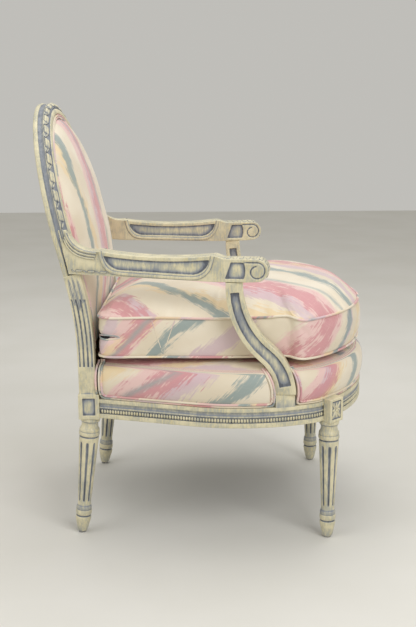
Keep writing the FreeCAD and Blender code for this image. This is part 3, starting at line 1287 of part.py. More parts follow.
def build():
    """All nodes of the chair by name."""
    joints = left_joints()
    feet = [(FRONT_LEG_X, FRONT_LEG_Y), (REAR_BLOCK_X, REAR_BLOCK_Y + REAR_FOOT_OFFSET)]
    stile = rear_stile()
    crest = crest_rail()
    arm_left = main_solid(arm().cut([stile, crest]))
    post = arm_post(arm_left)
    rail_low = lower_back_rail(stile)
    stile_joints = ("side_rail_rear", "rear_rail", "lower_back_rail", "crest_rail", "arm")
    stile = with_mortises(stile, [joints[name] for name in stile_joints])
    stile = stile.cut(glide_pin(*feet[1], MORTISE_CLEARANCE))
    leg = with_mortises(front_leg(), [joints["front_rail"], joints["side_rail_front"]])
    leg = leg.cut(glide_pin(*feet[0], MORTISE_CLEARANCE))
    rail_side = with_tenons(side_rail(), [joints["side_rail_front"], joints["side_rail_rear"]])
    rail_side = with_mortises(rail_side, [joints["post_foot"]])
    arm_left = with_mortises(with_tenons(arm_left, [joints["arm"]]), [joints["post_head"]])
    post = with_tenons(post, [joints["post_head"], joints["post_foot"]])
    crest = with_end_tenons(crest, joints["crest_rail"])
    rail_low = with_end_tenons(rail_low, joints["lower_back_rail"])
    rail_front = with_end_tenons(front_rail(), joints["front_rail"])
    rail_rear = with_end_tenons(rear_rail(), joints["rear_rail"])
    front_corner = vec(FRONT_LEG_X - FRONT_BRACE_OFFSET, FRONT_LEG_Y + FRONT_BRACE_OFFSET, 0)
    rear_corner = vec(REAR_RAIL_END_X - REAR_BRACE_OFFSET, REAR_BLOCK_FRONT_Y - REAR_BRACE_OFFSET, 0)
    brace_front = corner_brace(front_corner, FRONT_BLOCK_TURN, [leg, rail_side, rail_front])
    brace_rear = corner_brace(rear_corner, -FRONT_BLOCK_TURN, [stile, rail_side, rail_rear])
    notch = post_blank(SOFT_GAP * 2, POST_THICKNESS + SOFT_GAP * 4).fuse(post_step(SOFT_GAP))
    feet_blocks = [front_block(SOFT_GAP, 0, FRONT_BLOCK_TOP_Z), rear_block()]
    nodes = {
        "crest_rail": crest,
        "lower_back_rail": rail_low,
        "front_rail": rail_front,
        "rear_rail": rail_rear,
        "foot_glides": both_sides([glide(x, y) for x, y in feet]),
        "webbing_lengthwise": seat_straps(True),
        "webbing_crosswise": seat_straps(False),
        "dust_cover": dust_cover(feet_blocks + [mirrored(block) for block in feet_blocks]),
        "seat_deck": seat_deck([notch, mirrored(notch), rail_side, mirrored(rail_side), rail_front]),
        "back_burlap": back_burlap(),
        "inside_back_pad": back_pad(),
        "inside_back_welt": back_welt(),
        "outside_back_panel": outside_back(),
        "seat_cushion": seat_cushion(),
        "cushion_piping_top": cushion_piping(CUSHION_TOP_SEAM_Z),
        "cushion_piping_bottom": cushion_piping(CUSHION_BOTTOM_SEAM_Z),
        "cushion_zipper": cushion_zipper(),
        "zipper_slider": zipper_slider(),
    }
    pairs = {
        "rear_stile": stile,
        "front_leg": leg,
        "side_rail": rail_side,
        "arm": arm_left,
        "arm_post": post,
        "corner_brace_front": brace_front,
        "corner_brace_rear": brace_rear,
    }
    for name, shape in pairs.items():
        nodes[name + "_left"] = shape
        nodes[name + "_right"] = mirrored(shape)
    return nodes


os.makedirs("parts", exist_ok=True)
for node, shape in build().items():
    shape.exportStep("parts/" + node + ".step")
    print(node, len(shape.Solids), "solids", round(shape.Volume), "mm3", "valid", shape.isValid())
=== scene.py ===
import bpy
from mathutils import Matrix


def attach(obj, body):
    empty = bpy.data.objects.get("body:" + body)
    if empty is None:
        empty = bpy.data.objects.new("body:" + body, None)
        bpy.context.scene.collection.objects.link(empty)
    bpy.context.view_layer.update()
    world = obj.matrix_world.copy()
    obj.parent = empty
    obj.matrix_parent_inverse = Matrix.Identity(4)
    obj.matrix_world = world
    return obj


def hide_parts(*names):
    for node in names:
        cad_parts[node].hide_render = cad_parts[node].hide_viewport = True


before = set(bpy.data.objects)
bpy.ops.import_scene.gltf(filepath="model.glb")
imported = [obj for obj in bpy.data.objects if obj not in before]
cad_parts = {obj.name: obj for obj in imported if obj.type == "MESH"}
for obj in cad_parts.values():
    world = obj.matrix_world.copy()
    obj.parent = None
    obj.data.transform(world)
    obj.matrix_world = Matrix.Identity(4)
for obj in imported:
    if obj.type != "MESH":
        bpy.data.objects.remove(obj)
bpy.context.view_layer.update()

import logging
import math
from dataclasses import dataclass
from enum import Enum
from typing import Optional, Sequence

import bmesh
import bpy
import numpy as np
from mathutils import Matrix, Vector

# Sizes are in millimetres, as in the part's drawing; meshes are written in metres.
MM = 0.001
CUT_MARGIN = 0.2
GRAIN, FINE_GRAIN = 1.2, 0.9
CORNER_STEPS = 5
CORD_SIDES = 10
log = logging.getLogger("chair")
Array = np.ndarray
Piece = bpy.types.Object
Mesh = bpy.types.Mesh
Material = bpy.types.Material
Socket = bpy.types.NodeSocket
Corner = tuple[float, float, float, float]


class Body(Enum):
    """Bodies that a piece can ride on."""

    FRAME = "frame"
    CUSHION = "cushion"
    SLIDER = "zipper_slider"


class Side(Enum):
    """Sitter's left and right, with the sign of x."""

    LEFT = 1
    RIGHT = -1

    @property
    def word(self) -> str:
        """Name used in node and piece names."""
        return self.name.lower()


class Slot(Enum):
    """Names of the material slots."""

    PAINT = "painted_wood"
    PRINT = "print_fabric"
    WELT = "welt_cord"
    WEBBING = "webbing"
    BURLAP = "burlap"
    DUST = "dust_cloth"
    TAPE = "zipper_tape"
    ZIP = "zipper_metal"
    GLIDE = "glide_metal"


def srgb(code: str) -> tuple[float, float, float, float]:
    """Colour of a hex code as linear values.

    Args:
        code: six hex digits.

    Returns:
        Linear red, green, blue and alpha.
    """
    parts = [int(code[k:k + 2], 16) / 255 for k in (0, 2, 4)]
    linear = [c / 12.92 if c <= 0.04045 else ((c + 0.055) / 1.055) ** 2.4 for c in parts]
    return (linear[0], linear[1], linear[2], 1.0)


def unit(vectors: Array) -> Array:
    """Vectors scaled to length 1.

    Args:
        vectors: array whose last axis is a vector.

    Returns:
        Array of the same shape.
    """
    length = np.linalg.norm(vectors, axis=-1, keepdims=True)
    return vectors / np.maximum(length, 1e-12)


def smoothstep(value: Array, low: float, high: float) -> Array:
    """Smooth rise from 0 at low to 1 at high.

    Args:
        value: where to read it.
        low: start of the rise.
        high: end of the rise.

    Returns:
        Values from 0 to 1.
    """
    t = np.clip((np.asarray(value, float) - low) / (high - low), 0, 1)
    return t * t * (3 - 2 * t)


def trace(corners: Sequence[Corner], closed: bool = True) -> tuple[Array, Array]:
    """Section outline with its corners rounded.

    Args:
        corners: u, v, rounding and glaze of each corner in turn.
        closed: whether the last corner joins the first.

    Returns:
        Points of shape (n, 2) and the glaze at each.
    """
    points: list[Array] = []
    glaze: list[float] = []
    count = len(corners)
    for k, (u, v, rounding, tone) in enumerate(corners):
        here = np.array([u, v])
        ends = not closed and k in (0, count - 1)
        if rounding <= 0 or ends:
            points.append(here)
            glaze.append(tone)
            continue
        before = np.array(corners[k - 1][:2]) - here
        after = np.array(corners[(k + 1) % count][:2]) - here
        reach_a = min(rounding, np.linalg.norm(before) * 0.49)
        reach_b = min(rounding, np.linalg.norm(after) * 0.49)
        first = here + unit(before) * reach_a
        last = here + unit(after) * reach_b
        for t in np.linspace(0, 1, CORNER_STEPS):
            points.append((1 - t) ** 2 * first + 2 * t * (1 - t) * here + t * t * last)
            glaze.append(tone)
    return np.array(points), np.array(glaze)


def densify(points: Array, values: Array, spacing: float) -> tuple[Array, Array]:
    """Open polyline with points added on its long runs.

    Args:
        points: polyline of shape (n, d).
        values: one number for each point.
        spacing: longest run that stays undivided.

    Returns:
        The finer polyline and its numbers.
    """
    fine, numbers = [points[0]], [values[0]]
    for a, b, va, vb in zip(points, points[1:], values, values[1:]):
        parts = max(1, int(math.ceil(np.linalg.norm(b - a) / spacing)))
        for k in range(1, parts + 1):
            fine.append(a + (b - a) * k / parts)
            numbers.append(va + (vb - va) * k / parts)
    return np.array(fine), np.array(numbers)


def arc_length(points: Array) -> Array:
    """Distance along a polyline at each of its points."""
    return np.concatenate([[0], np.cumsum(np.linalg.norm(np.diff(points, axis=0), axis=1))])


def even(points: Array, spacing: float) -> Array:
    """Polyline with points spaced evenly along it.

    Args:
        points: polyline of shape (n, d).
        spacing: wanted distance between points.

    Returns:
        The evenly spaced polyline.
    """
    run = arc_length(points)
    count = max(2, int(round(run[-1] / spacing)) + 1)
    at = np.linspace(0, run[-1], count)
    return np.stack([np.interp(at, run, points[:, k]) for k in range(points.shape[1])], axis=1)


def flowing(keys: Sequence[Sequence[float]], spacing: float) -> Array:
    """Smooth line through key points.

    Args:
        keys: points that the line passes through.
        spacing: distance between the points of the result.

    Returns:
        Evenly spaced points of the line.
    """
    p = np.array(keys, float)
    p = np.vstack([2 * p[0] - p[1], p, 2 * p[-1] - p[-2]])
    line = []
    for k in range(1, len(p) - 2):
        for t in np.linspace(0, 1, 16, endpoint=False):
            a, b, c, d = p[k - 1], p[k], p[k + 1], p[k + 2]
            line.append(0.5 * (2 * b + (c - a) * t + (2 * a - 5 * b + 4 * c - d) * t * t
                               + (3 * b - a - 3 * c + d) * t ** 3))
    line.append(p[-2])
    return even(np.array(line), spacing)


def full_turn(count: int) -> Array:
    """Angles spaced evenly over a whole turn."""
    return np.linspace(0, 2 * math.pi, count, endpoint=False)


def at_height(points: Array, z: Array | float) -> Array:
    """Plan points or directions with a height added to each."""
    return np.column_stack([points, np.broadcast_to(z, len(points))])


def looped(rows: Array) -> Array:
    """Rows with their first column again at the end."""
    return np.concatenate([rows, rows[:, :1]], axis=1)


class Draft:
    """Mesh under construction, in millimetres."""

    def __init__(self) -> None:
        """Starts with nothing in it."""
        self.points: list[Array] = []
        self.glaze: list[Array] = []
        self.faces: list[list[int]] = []
        self.cloth: list[list[list[float]]] = []
        self.count = 0

    def add(self, points: Array, glaze: Array | float) -> int:
        """Adds loose points.

        Args:
            points: array of shape (n, 3).
            glaze: how much glaze lies at each, 0 to 1.

        Returns:
            Index of the first of them.
        """
        first = self.count
        self.points.append(np.asarray(points, float))
        self.glaze.append(np.broadcast_to(np.asarray(glaze, float), (len(points),)))
        self.count += len(points)
        return first

    def grid(self, rows: Array, glaze: Array | float = 0.0, cloth: Optional[Array] = None,
             wrap: bool = False) -> Array:
        """Adds a net of quads.

        Args:
            rows: points of shape (rows, columns, 3).
            glaze: glaze at each point.
            cloth: cloth coordinates in metres, with one more column if the net wraps.
            wrap: whether the last column joins the first.

        Returns:
            Index of each point, of shape (rows, columns).
        """
        r, c = rows.shape[:2]
        tone = np.broadcast_to(np.asarray(glaze, float), (r, c)).reshape(-1)
        index = self.add(rows.reshape(-1, 3), tone) + np.arange(r * c).reshape(r, c)
        ring = looped(index) if wrap else index
        width = ring.shape[1]
        laid = np.zeros((r, width, 2)) if cloth is None else cloth
        quads = np.stack([ring[:-1, :-1], ring[:-1, 1:], ring[1:, 1:], ring[1:, :-1]], axis=-1)
        corners = np.stack([laid[:-1, :-1], laid[:-1, 1:], laid[1:, 1:], laid[1:, :-1]], axis=-2)
        self.faces.extend(quads.reshape(-1, 4).tolist())
        self.cloth.extend(corners.reshape(-1, 4, 2).tolist())
        return index

    def relief(self, rows: Array, glaze: Array | float) -> None:
        """Adds a raised shape with a closed back.

        Args:
            rows: points of its face, of shape (rows, columns, 3).
            glaze: glaze at each point.
        """
        net = self.grid(rows, glaze)
        middle = net.shape[1] // 2
        rim = [net[0, middle:], net[1:, -1], net[-1, -2::-1], net[-2:0:-1, 0], net[0, :middle]]
        self.cap(np.concatenate(rim))

    def cap(self, ring: Sequence[int], cloth: Optional[Array] = None) -> None:
        """Closes a ring with a band of quads between its two halves.

        Args:
            ring: indices of the ring in turn.
            cloth: cloth coordinates of each.
        """
        count = len(ring)
        laid = np.zeros((count, 2)) if cloth is None else cloth
        for k in range((count - 1) // 2):
            band = list(dict.fromkeys((k, k + 1, count - 2 - k, count - 1 - k)))
            self.faces.append([int(ring[n]) for n in band])
            self.cloth.append([laid[n].tolist() for n in band])

    def sweep(self, path: Array, out: Array, side: Array, section: Array, glaze: Array | float,
              closed: bool = False, cloth: Optional[Array] = None) -> None:
        """Carries a closed section along a path.

        Args:
            path: points of the path, of shape (n, 3).
            out: direction of the section's first axis at each point.
            side: direction of its second axis at each point.
            section: section points of shape (m, 2).
            glaze: glaze at each section point.
            closed: whether the path is a loop.
            cloth: cloth coordinates of shape (n, m + 1, 2), with one more row for a loop.
        """
        rows = path[:, None] + out[:, None] * section[None, :, :1] + side[:, None] * section[None, :, 1:]
        tone = np.broadcast_to(np.asarray(glaze, float), (len(section),))
        if closed:
            rows = np.concatenate([rows, rows[:1]])
        index = self.grid(rows, tone[None, :].repeat(len(rows), 0), cloth, wrap=True)
        if not closed:
            self.cap(index[0][::-1])
            self.cap(index[-1])

    def make(self, name: str, material: Material, sharp: float = 38.0,
             solid: bool = True) -> Piece:
        """Makes the piece's object.

        Args:
            name: name of the piece.
            material: its finish.
            sharp: angle in degrees above which an edge stays crisp.
            solid: whether the mesh is closed, so that its faces can be turned outward.

        Returns:
            The new object, at the origin.
        """
        mesh = bpy.data.meshes.new(name)
        mesh.from_pydata((np.vstack(self.points) * MM).tolist(), [], self.faces)
        layer = mesh.uv_layers.new(name="cloth")
        layer.data.foreach_set("uv", np.array([p for face in self.cloth for p in face]).ravel())
        store(mesh, "glaze", np.concatenate(self.glaze))
        bm = bmesh.new()
        bm.from_mesh(mesh)
        bmesh.ops.remove_doubles(bm, verts=bm.verts, dist=2e-6)
        if solid:
            bmesh.ops.recalc_face_normals(bm, faces=bm.faces)
        bm.to_mesh(mesh)
        bm.free()
        mesh.shade_smooth()
        mesh.set_sharp_from_angle(angle=math.radians(sharp))
        return placed(name, mesh, material)


def store(mesh: Mesh, name: str, values: Array) -> None:
    """Writes one number for each vertex as a mesh attribute.

    Args:
        mesh: the mesh.
        name: name of the attribute.
        values: the numbers.
    """
    known = mesh.attributes.get(name)
    layer = known if known else mesh.attributes.new(name, "FLOAT", "POINT")
    layer.data.foreach_set("value", np.asarray(values, np.float32))


def placed(name: str, mesh: Mesh, material: Optional[Material]) -> Piece:
    """Object for a mesh, in the scene and at the origin.

    Args:
        name: name of the piece.
        mesh: its mesh.
        material: its finish, if the mesh doesn't carry one.

    Returns:
        The new object.
    """
    mesh.name = name
    if material:
        mesh.materials.clear()
        mesh.materials.append(material)
    piece = bpy.data.objects.new(name, mesh)
    bpy.context.scene.collection.objects.link(piece)
    return piece


def evaluated(piece: Piece) -> Mesh:
    """Plain mesh of an object with its modifiers applied."""
    graph = bpy.context.evaluated_depsgraph_get()
    return bpy.data.meshes.new_from_object(piece.evaluated_get(graph), depsgraph=graph)


def coordinates(mesh: Mesh) -> Array:
    """Vertex places of a mesh, of shape (n, 3), in metres.

    Args:
        mesh: the mesh.

    Returns:
        Places of shape (n, 3), in metres.
    """
    flat = np.zeros(len(mesh.vertices) * 3, np.float32)
    mesh.vertices.foreach_get("co", flat)
    return flat.reshape(-1, 3).astype(float)


def directions(mesh: Mesh) -> Array:
    """Outward direction at each vertex of a mesh, of shape (n, 3).

    Args:
        mesh: the mesh.

    Returns:
        Directions of shape (n, 3).
    """
    flat = np.zeros(len(mesh.vertices) * 3, np.float32)
    mesh.vertices.foreach_get("normal", flat)
    return flat.reshape(-1, 3)


def move(mesh: Mesh, places: Array) -> None:
    """Puts a mesh's vertices in new places, in metres."""
    mesh.vertices.foreach_set("co", places.astype(np.float32).ravel())
    mesh.update()


def links(mesh: Mesh) -> Array:
    """Vertex pairs of a mesh's edges, of shape (n, 2).

    Args:
        mesh: the mesh.

    Returns:
        Vertex pairs of shape (n, 2).
    """
    flat = np.zeros(len(mesh.edges) * 2, np.int32)
    mesh.edges.foreach_get("vertices", flat)
    return flat.reshape(-1, 2)


def valence(pairs: Array, count: int) -> Array:
    """How many edges meet at each vertex, and at least 1."""
    return np.maximum(np.bincount(pairs.ravel(), minlength=count), 1)


def spread(values: Array, pairs: Array, rounds: int, share: float = 0.5) -> Array:
    """Numbers on a mesh, averaged with their neighbours.

    Args:
        values: one number or vector for each vertex.
        pairs: edges of the mesh.
        rounds: how often to average.
        share: weight of the neighbours.

    Returns:
        The smoothed numbers.
    """
    i, j = pairs[:, 0], pairs[:, 1]
    count = len(values)
    meeting = valence(pairs, count)
    flat = values.reshape(count, -1)
    for _ in range(rounds):
        mean = np.stack([(np.bincount(i, flat[j, k], count) + np.bincount(j, flat[i, k], count)) / meeting
                         for k in range(flat.shape[1])], axis=1)
        flat = flat + share * (mean - flat)
    return flat.reshape(values.shape)


def antique(mesh: Mesh) -> None:
    """Stores where glaze gathers in the hollows of a carved mesh and where its edges are rubbed.

    Args:
        mesh: the carved mesh.
    """
    pairs = links(mesh)
    places, out = coordinates(mesh), directions(mesh)
    i, j = pairs[:, 0], pairs[:, 1]
    run = unit(places[j] - places[i])
    count = len(places)
    lift = np.bincount(i, (out[i] * run).sum(1), count) - np.bincount(j, (out[j] * run).sum(1), count)
    lift = lift / valence(pairs, count)
    near, mid, wide, broad = (spread(lift, pairs, rounds) for rounds in (2, 14, 60, 240))
    hollow = 4.0 * np.maximum(near, 0) + 9.0 * np.maximum(mid, 0)
    hollow += 24.0 * np.maximum(wide, 0) + 40.0 * np.maximum(broad, 0)
    store(mesh, "glaze", np.clip(hollow, 0, 1))
    store(mesh, "wear", np.clip(-5.0 * near - 0.15, 0, 1))


def carved(node: str, voxel: float, cuts: Sequence[tuple[Vector, Vector]] = ()) -> Mesh:
    """Copy of a wooden CAD node with eased, hand-worked edges.

    Args:
        node: the node.
        voxel: size of the surface grain in millimetres.
        cuts: planes, each a point and the normal of the side that is taken away.

    Returns:
        A dense mesh with its glaze and wear.
    """
    bm = bmesh.new()
    bm.from_mesh(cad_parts[node].data)
    bmesh.ops.remove_doubles(bm, verts=bm.verts, dist=1e-6)
    for point, normal in cuts:
        parts = bm.verts[:] + bm.edges[:] + bm.faces[:]
        bmesh.ops.bisect_plane(bm, geom=parts, dist=1e-7, plane_co=point, plane_no=normal, clear_outer=True)
        bmesh.ops.holes_fill(bm, edges=[e for e in bm.edges if e.is_boundary], sides=0)
    raw = bpy.data.meshes.new(node + "_raw")
    bm.to_mesh(raw)
    bm.free()
    blank = placed(node + "_raw", raw, None)
    remesh = blank.modifiers.new("grain", "REMESH")
    remesh.mode = "VOXEL"
    remesh.voxel_size = voxel * MM
    mesh = evaluated(blank)
    bpy.data.objects.remove(blank)
    pairs = links(mesh)
    places = coordinates(mesh)
    for share in (0.55, -0.57, 0.55, -0.57, 0.5):
        places = spread(places, pairs, 1, share)
    move(mesh, places)
    mesh.shade_smooth()
    antique(mesh)
    return mesh


def below(z: float) -> tuple[Vector, Vector]:
    """Cut that takes away what lies under a height."""
    return Vector((0, 0, (z + CUT_MARGIN) * MM)), Vector((0, 0, -1))


def mirrored(mesh: Mesh) -> Mesh:
    """Copy of a mesh on the other side of x = 0, with its faces still outward.

    Args:
        mesh: the mesh.

    Returns:
        The mirrored copy.
    """
    twin = mesh.copy()
    twin.transform(Matrix.Scale(-1, 4, (1, 0, 0)))
    twin.flip_normals()
    return twin


def settle(piece: Piece, body: Body, slot: Slot, *nodes: str) -> Piece:
    """Gives a finished piece its body and hides the CAD nodes that it stands for.

    Args:
        piece: the piece.
        body: body that it rides on.
        slot: material slot; not used.
        nodes: CAD nodes that it replaces.

    Returns:
        The same piece.
    """
    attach(piece, body.value)
    if nodes:
        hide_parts(*nodes)
    log.info("%s: %d faces on %s", piece.name, len(piece.data.polygons), body.value)
    return piece


def painted(piece: Piece, *nodes: str) -> None:
    """Settles a painted piece of the wooden frame."""
    settle(piece, Body.FRAME, Slot.PAINT, *nodes)


def thicken(piece: Piece, thickness: float) -> Piece:
    """Gives a sheet its thickness, in millimetres."""
    piece.modifiers.new("thickness", "SOLIDIFY").thickness = thickness * MM
    return piece


def on_side(mesh: Mesh, side: Side) -> Mesh:
    """A mesh made for the left, or its mirror image for the right."""
    return mesh if side is Side.LEFT else mirrored(mesh)


# Finishes


class Shader:
    """Node tree of one finish under construction."""

    def __init__(self, name: str) -> None:
        """Starts a material with one principled surface.

        Args:
            name: name of the material.
        """
        self.material = bpy.data.materials.new(name)
        self.material.use_nodes = True
        self.tree = self.material.node_tree
        self.tree.nodes.clear()
        end = self.node("ShaderNodeOutputMaterial")
        self.surface = self.node("ShaderNodeBsdfPrincipled")
        self.tree.links.new(self.surface.outputs[0], end.inputs["Surface"])

    def node(self, kind: str, **settings: object) -> bpy.types.Node:
        """New node with some of its settings.

        Args:
            kind: type of the node.
            settings: its settings by name.

        Returns:
            The node.
        """
        made = self.tree.nodes.new(kind)
        for key, value in settings.items():
            setattr(made, key, value)
        return made

    def put(self, socket: Socket, value: object) -> None:
        """Links a socket to another, or sets its number or colour.

        Args:
            socket: the socket.
            value: another socket, a number or a colour.
        """
        if isinstance(value, Socket):
            self.tree.links.new(value, socket)
        else:
            socket.default_value = value

    def set(self, **values: object) -> None:
        """Puts values on the surface's sockets, by their names with underscores."""
        for key, value in values.items():
            self.put(self.surface.inputs[key.replace("_", " ")], value)

    def math(self, kind: str, a: object, b: object = 0.0) -> Socket:
        """Result of a sum on two numbers.

        Args:
            kind: the operation.
            a: first number.
            b: second number.

        Returns:
            The result.
        """
        made = self.node("ShaderNodeMath", operation=kind)
        self.put(made.inputs[0], a)
        self.put(made.inputs[1], b)
        return made.outputs[0]

    def scaled(self, value: object, factor: object) -> Socket:
        """Product of two numbers."""
        return self.math("MULTIPLY", value, factor)

    def swing(self, value: object, factor: float = 1.0) -> Socket:
        """Number from 0 to 1 as a swing about zero."""
        return self.scaled(self.math("SUBTRACT", value, 0.5), factor)

    def first_axis(self, vector: object) -> Socket:
        """First axis of some coordinates.

        Args:
            vector: the coordinates.

        Returns:
            The number on that axis.
        """
        made = self.node("ShaderNodeSeparateXYZ")
        self.put(made.inputs[0], vector)
        return made.outputs[0]

    def rise(self, value: object, low: float, high: float, start: float = 0.0,
             end: float = 1.0) -> Socket:
        """Number taken smoothly from one range to another.

        Args:
            value: the number.
            low: value that gives start.
            high: value that gives end.
            start: result at low and before it.
            end: result at high and after it.

        Returns:
            The result.
        """
        made = self.node("ShaderNodeMapRange", interpolation_type="SMOOTHSTEP")
        for k, number in enumerate((value, low, high, start, end)):
            self.put(made.inputs[k], number)
        return made.outputs[0]

    def place(self) -> Socket:
        """Place on the object, in metres."""
        return self.node("ShaderNodeTexCoord").outputs["Object"]

    def cloth(self) -> Socket:
        """Place on the cut cloth, in metres."""
        return self.node("ShaderNodeUVMap", uv_map="cloth").outputs[0]

    def attribute(self, name: str) -> Socket:
        """Number stored on the mesh."""
        return self.node("ShaderNodeAttribute", attribute_name=name).outputs["Fac"]

    def mapped(self, vector: object, scale: Sequence[float], turn: float = 0.0) -> Socket:
        """Coordinates turned about z and scaled.

        Args:
            vector: the coordinates.
            scale: factor on each axis.
            turn: turn about z in degrees.

        Returns:
            The new coordinates.
        """
        made = self.node("ShaderNodeMapping")
        self.put(made.inputs["Vector"], vector)
        made.inputs["Rotation"].default_value = (0, 0, math.radians(turn))
        made.inputs["Scale"].default_value = scale
        return made.outputs[0]

    def noise(self, vector: object, scale: float, detail: float = 2.0,
              rough: float = 0.5) -> Socket:
        """Cloudy variation from 0 to 1.

        Args:
            vector: coordinates to read it at.
            scale: patches per metre.
            detail: octaves.
            rough: share of the finer octaves.

        Returns:
            The number.
        """
        made = self.node("ShaderNodeTexNoise")
        self.put(made.inputs["Vector"], vector)
        made.inputs["Scale"].default_value = scale
        made.inputs["Detail"].default_value = detail
        made.inputs["Roughness"].default_value = rough
        return made.outputs[0]

    def wave(self, vector: object, scale: float, direction: str) -> Socket:
        """Even threads or ribs.

        Args:
            vector: coordinates to read them at.
            scale: the texture's scale.
            direction: axis that they repeat along.

        Returns:
            Height from 0 to 1.
        """
        made = self.node("ShaderNodeTexWave", wave_type="BANDS", bands_direction=direction)
        self.put(made.inputs["Vector"], vector)
        made.inputs["Scale"].default_value = scale
        return made.outputs["Fac"]

    def mix(self, share: object, a: object, b: object) -> Socket:
        """Mix of two colours.

        Args:
            share: share of the second.
            a: first colour.
            b: second colour.

        Returns:
            The mixed colour.
        """
        made = self.node("ShaderNodeMix", data_type="RGBA")
        self.put(made.inputs[0], share)
        self.put(made.inputs[6], a)
        self.put(made.inputs[7], b)
        return made.outputs[2]

    def bump(self, height: object, depth: float, strength: float = 1.0) -> None:
        """Relief on the surface.

        Args:
            height: height from 0 to 1.
            depth: what a height of 1 is, in millimetres.
            strength: how strongly it shows.
        """
        made = self.node("ShaderNodeBump")
        made.inputs["Strength"].default_value = strength
        made.inputs["Distance"].default_value = depth * MM
        self.put(made.inputs["Height"], height)
        self.tree.links.new(made.outputs[0], self.surface.inputs["Normal"])


@dataclass(frozen=True)
class PaintFinish:
    """Cream paint, rubbed, with a blue-grey glaze left in the hollows."""

    cream: str = "dcd3b2"
    straw: str = "cbc096"
    wash: str = "adaea3"
    glaze: str = "878c94"
    deep: str = "4d525d"

    def material(self) -> Material:
        """Builds the material.

        Returns:
            The material.
        """
        s = Shader("antiqued_paint")
        place = s.place()
        cloud = s.noise(place, 22, 4, 0.6)
        brush = s.noise(s.mapped(place, (1, 1, 0.22)), 260, 3, 0.6)
        fine = s.noise(place, 900, 2, 0.6)
        streak = s.noise(s.mapped(place, (1, 1, 0.3)), 75, 3, 0.65)
        ground = s.mix(s.rise(cloud, 0.35, 0.7), srgb(self.cream), srgb(self.straw))
        thin = s.scaled(s.rise(cloud, 0.32, 0.64), s.rise(brush, 0.34, 0.6))
        ground = s.mix(s.scaled(thin, 0.9), ground, srgb(self.wash))
        uneven = s.attribute("glaze")
        for pattern, share in ((brush, 0.55), (cloud, 0.4), (streak, 0.75)):
            uneven = s.math("ADD", uneven, s.swing(pattern, share))
        ground = s.mix(s.rise(uneven, 0.12, 0.42, 0, 0.62), ground, srgb(self.wash))
        ground = s.mix(s.rise(uneven, 0.3, 0.72), ground, srgb(self.glaze))
        ground = s.mix(s.rise(uneven, 0.72, 1.1, 0, 0.85), ground, srgb(self.deep))
        rubbed = s.scaled(s.attribute("wear"), s.rise(cloud, 0.3, 0.6))
        ground = s.mix(s.scaled(rubbed, 0.8), ground, srgb("f0e8c6"))
        speck = s.rise(s.noise(place, 420, 1, 0.4), 0.74, 0.79)
        ground = s.mix(s.scaled(speck, 0.5), ground, srgb("6b6450"))
        s.set(Base_Color=ground, Roughness=s.rise(brush, 0.2, 0.8, 0.36, 0.6))
        s.bump(s.math("ADD", s.scaled(brush, 0.8), s.scaled(fine, 0.3)), 0.35, 0.5)
        return s.material


@dataclass(frozen=True)
class Stroke:
    """One colour of the print: broad brushed bands that repeat across the cloth."""

    colour: str
    period: float
    width: float
    offset: float
    turn: float
    ragged: float = 0.22
    strength: float = 0.9


@dataclass(frozen=True)
class PrintFinish:
    """Satin cotton, ivory, with soft brushed bands in pastel colours."""

    ground: str = "dccfb8"
    light: str = "e8decb"
    strokes: tuple[Stroke, ...] = (
        Stroke("e2bfbb", 0.236, 0.170, 0.10, 0, 0.10, 0.9),
        Stroke("cdb6be", 0.210, 0.070, 0.55, 10, 0.18, 0.8),
        Stroke("e3cb9f", 0.330, 0.045, 0.30, -8, 0.22, 0.75),
        Stroke("cc8d93", 0.246, 0.085, 0.22, 4, 0.42, 0.8),
        Stroke("86999a", 0.262, 0.044, 0.80, 6, 0.16, 0.85),
        Stroke("98a6a5", 0.410, 0.014, 0.05, -6, 0.03, 0.75),
    )
    warp: float = 0.085
    soft: float = 0.022
    whole_bands: int = 8

    def material(self) -> Material:
        """Builds the material.

        Returns:
            The material.
        """
        s = Shader("brushed_print")
        cloth = s.cloth()
        drift = s.swing(s.noise(cloth, 3.1, 1.0, 0.4), 2 * self.warp)
        colour = s.mix(s.rise(s.noise(cloth, 9, 2, 0.5), 0.3, 0.7), srgb(self.ground), srgb(self.light))
        for stroke in self.strokes:
            turned = s.mapped(cloth, (1, 1, 1), stroke.turn)
            across = s.math("DIVIDE", s.math("ADD", s.first_axis(turned), drift), stroke.period)
            phase = s.math("FRACT", s.math("ADD", across, stroke.offset + self.whole_bands))
            away = s.math("ABSOLUTE", s.swing(phase))
            bristle = s.noise(s.mapped(turned, (260, 16, 1)), 1.0, 3, 0.7)
            dab = s.noise(s.mapped(turned, (34, 20, 1)), 1.0, 3, 0.65)
            worn = s.math("ADD", s.swing(bristle), s.swing(dab))
            edge = s.math("ADD", away, s.scaled(worn, stroke.ragged))
            mask = s.rise(edge, stroke.width + self.soft, stroke.width - self.soft, 0, stroke.strength)
            colour = s.mix(mask, colour, srgb(stroke.colour))
        warps = s.wave(cloth, 640, "X")
        wefts = s.wave(cloth, 640, "Y")
        weave = s.scaled(s.math("ADD", warps, wefts), 0.5)
        slub = s.noise(s.mapped(cloth, (30, 700, 1)), 1.0, 2, 0.5)
        colour = s.mix(s.scaled(s.rise(slub, 0.55, 0.8), 0.12), colour, srgb("fbf6ea"))
        s.set(Base_Color=colour, Roughness=s.rise(weave, 0.0, 1.0, 0.62, 0.5), Sheen_Weight=0.25,
              Sheen_Roughness=0.45, Specular_IOR_Level=0.35)
        crease = s.noise(cloth, 34, 3, 0.55)
        s.bump(s.math("ADD", s.scaled(weave, 0.12), crease), 1.1, 0.35)
        return s.material


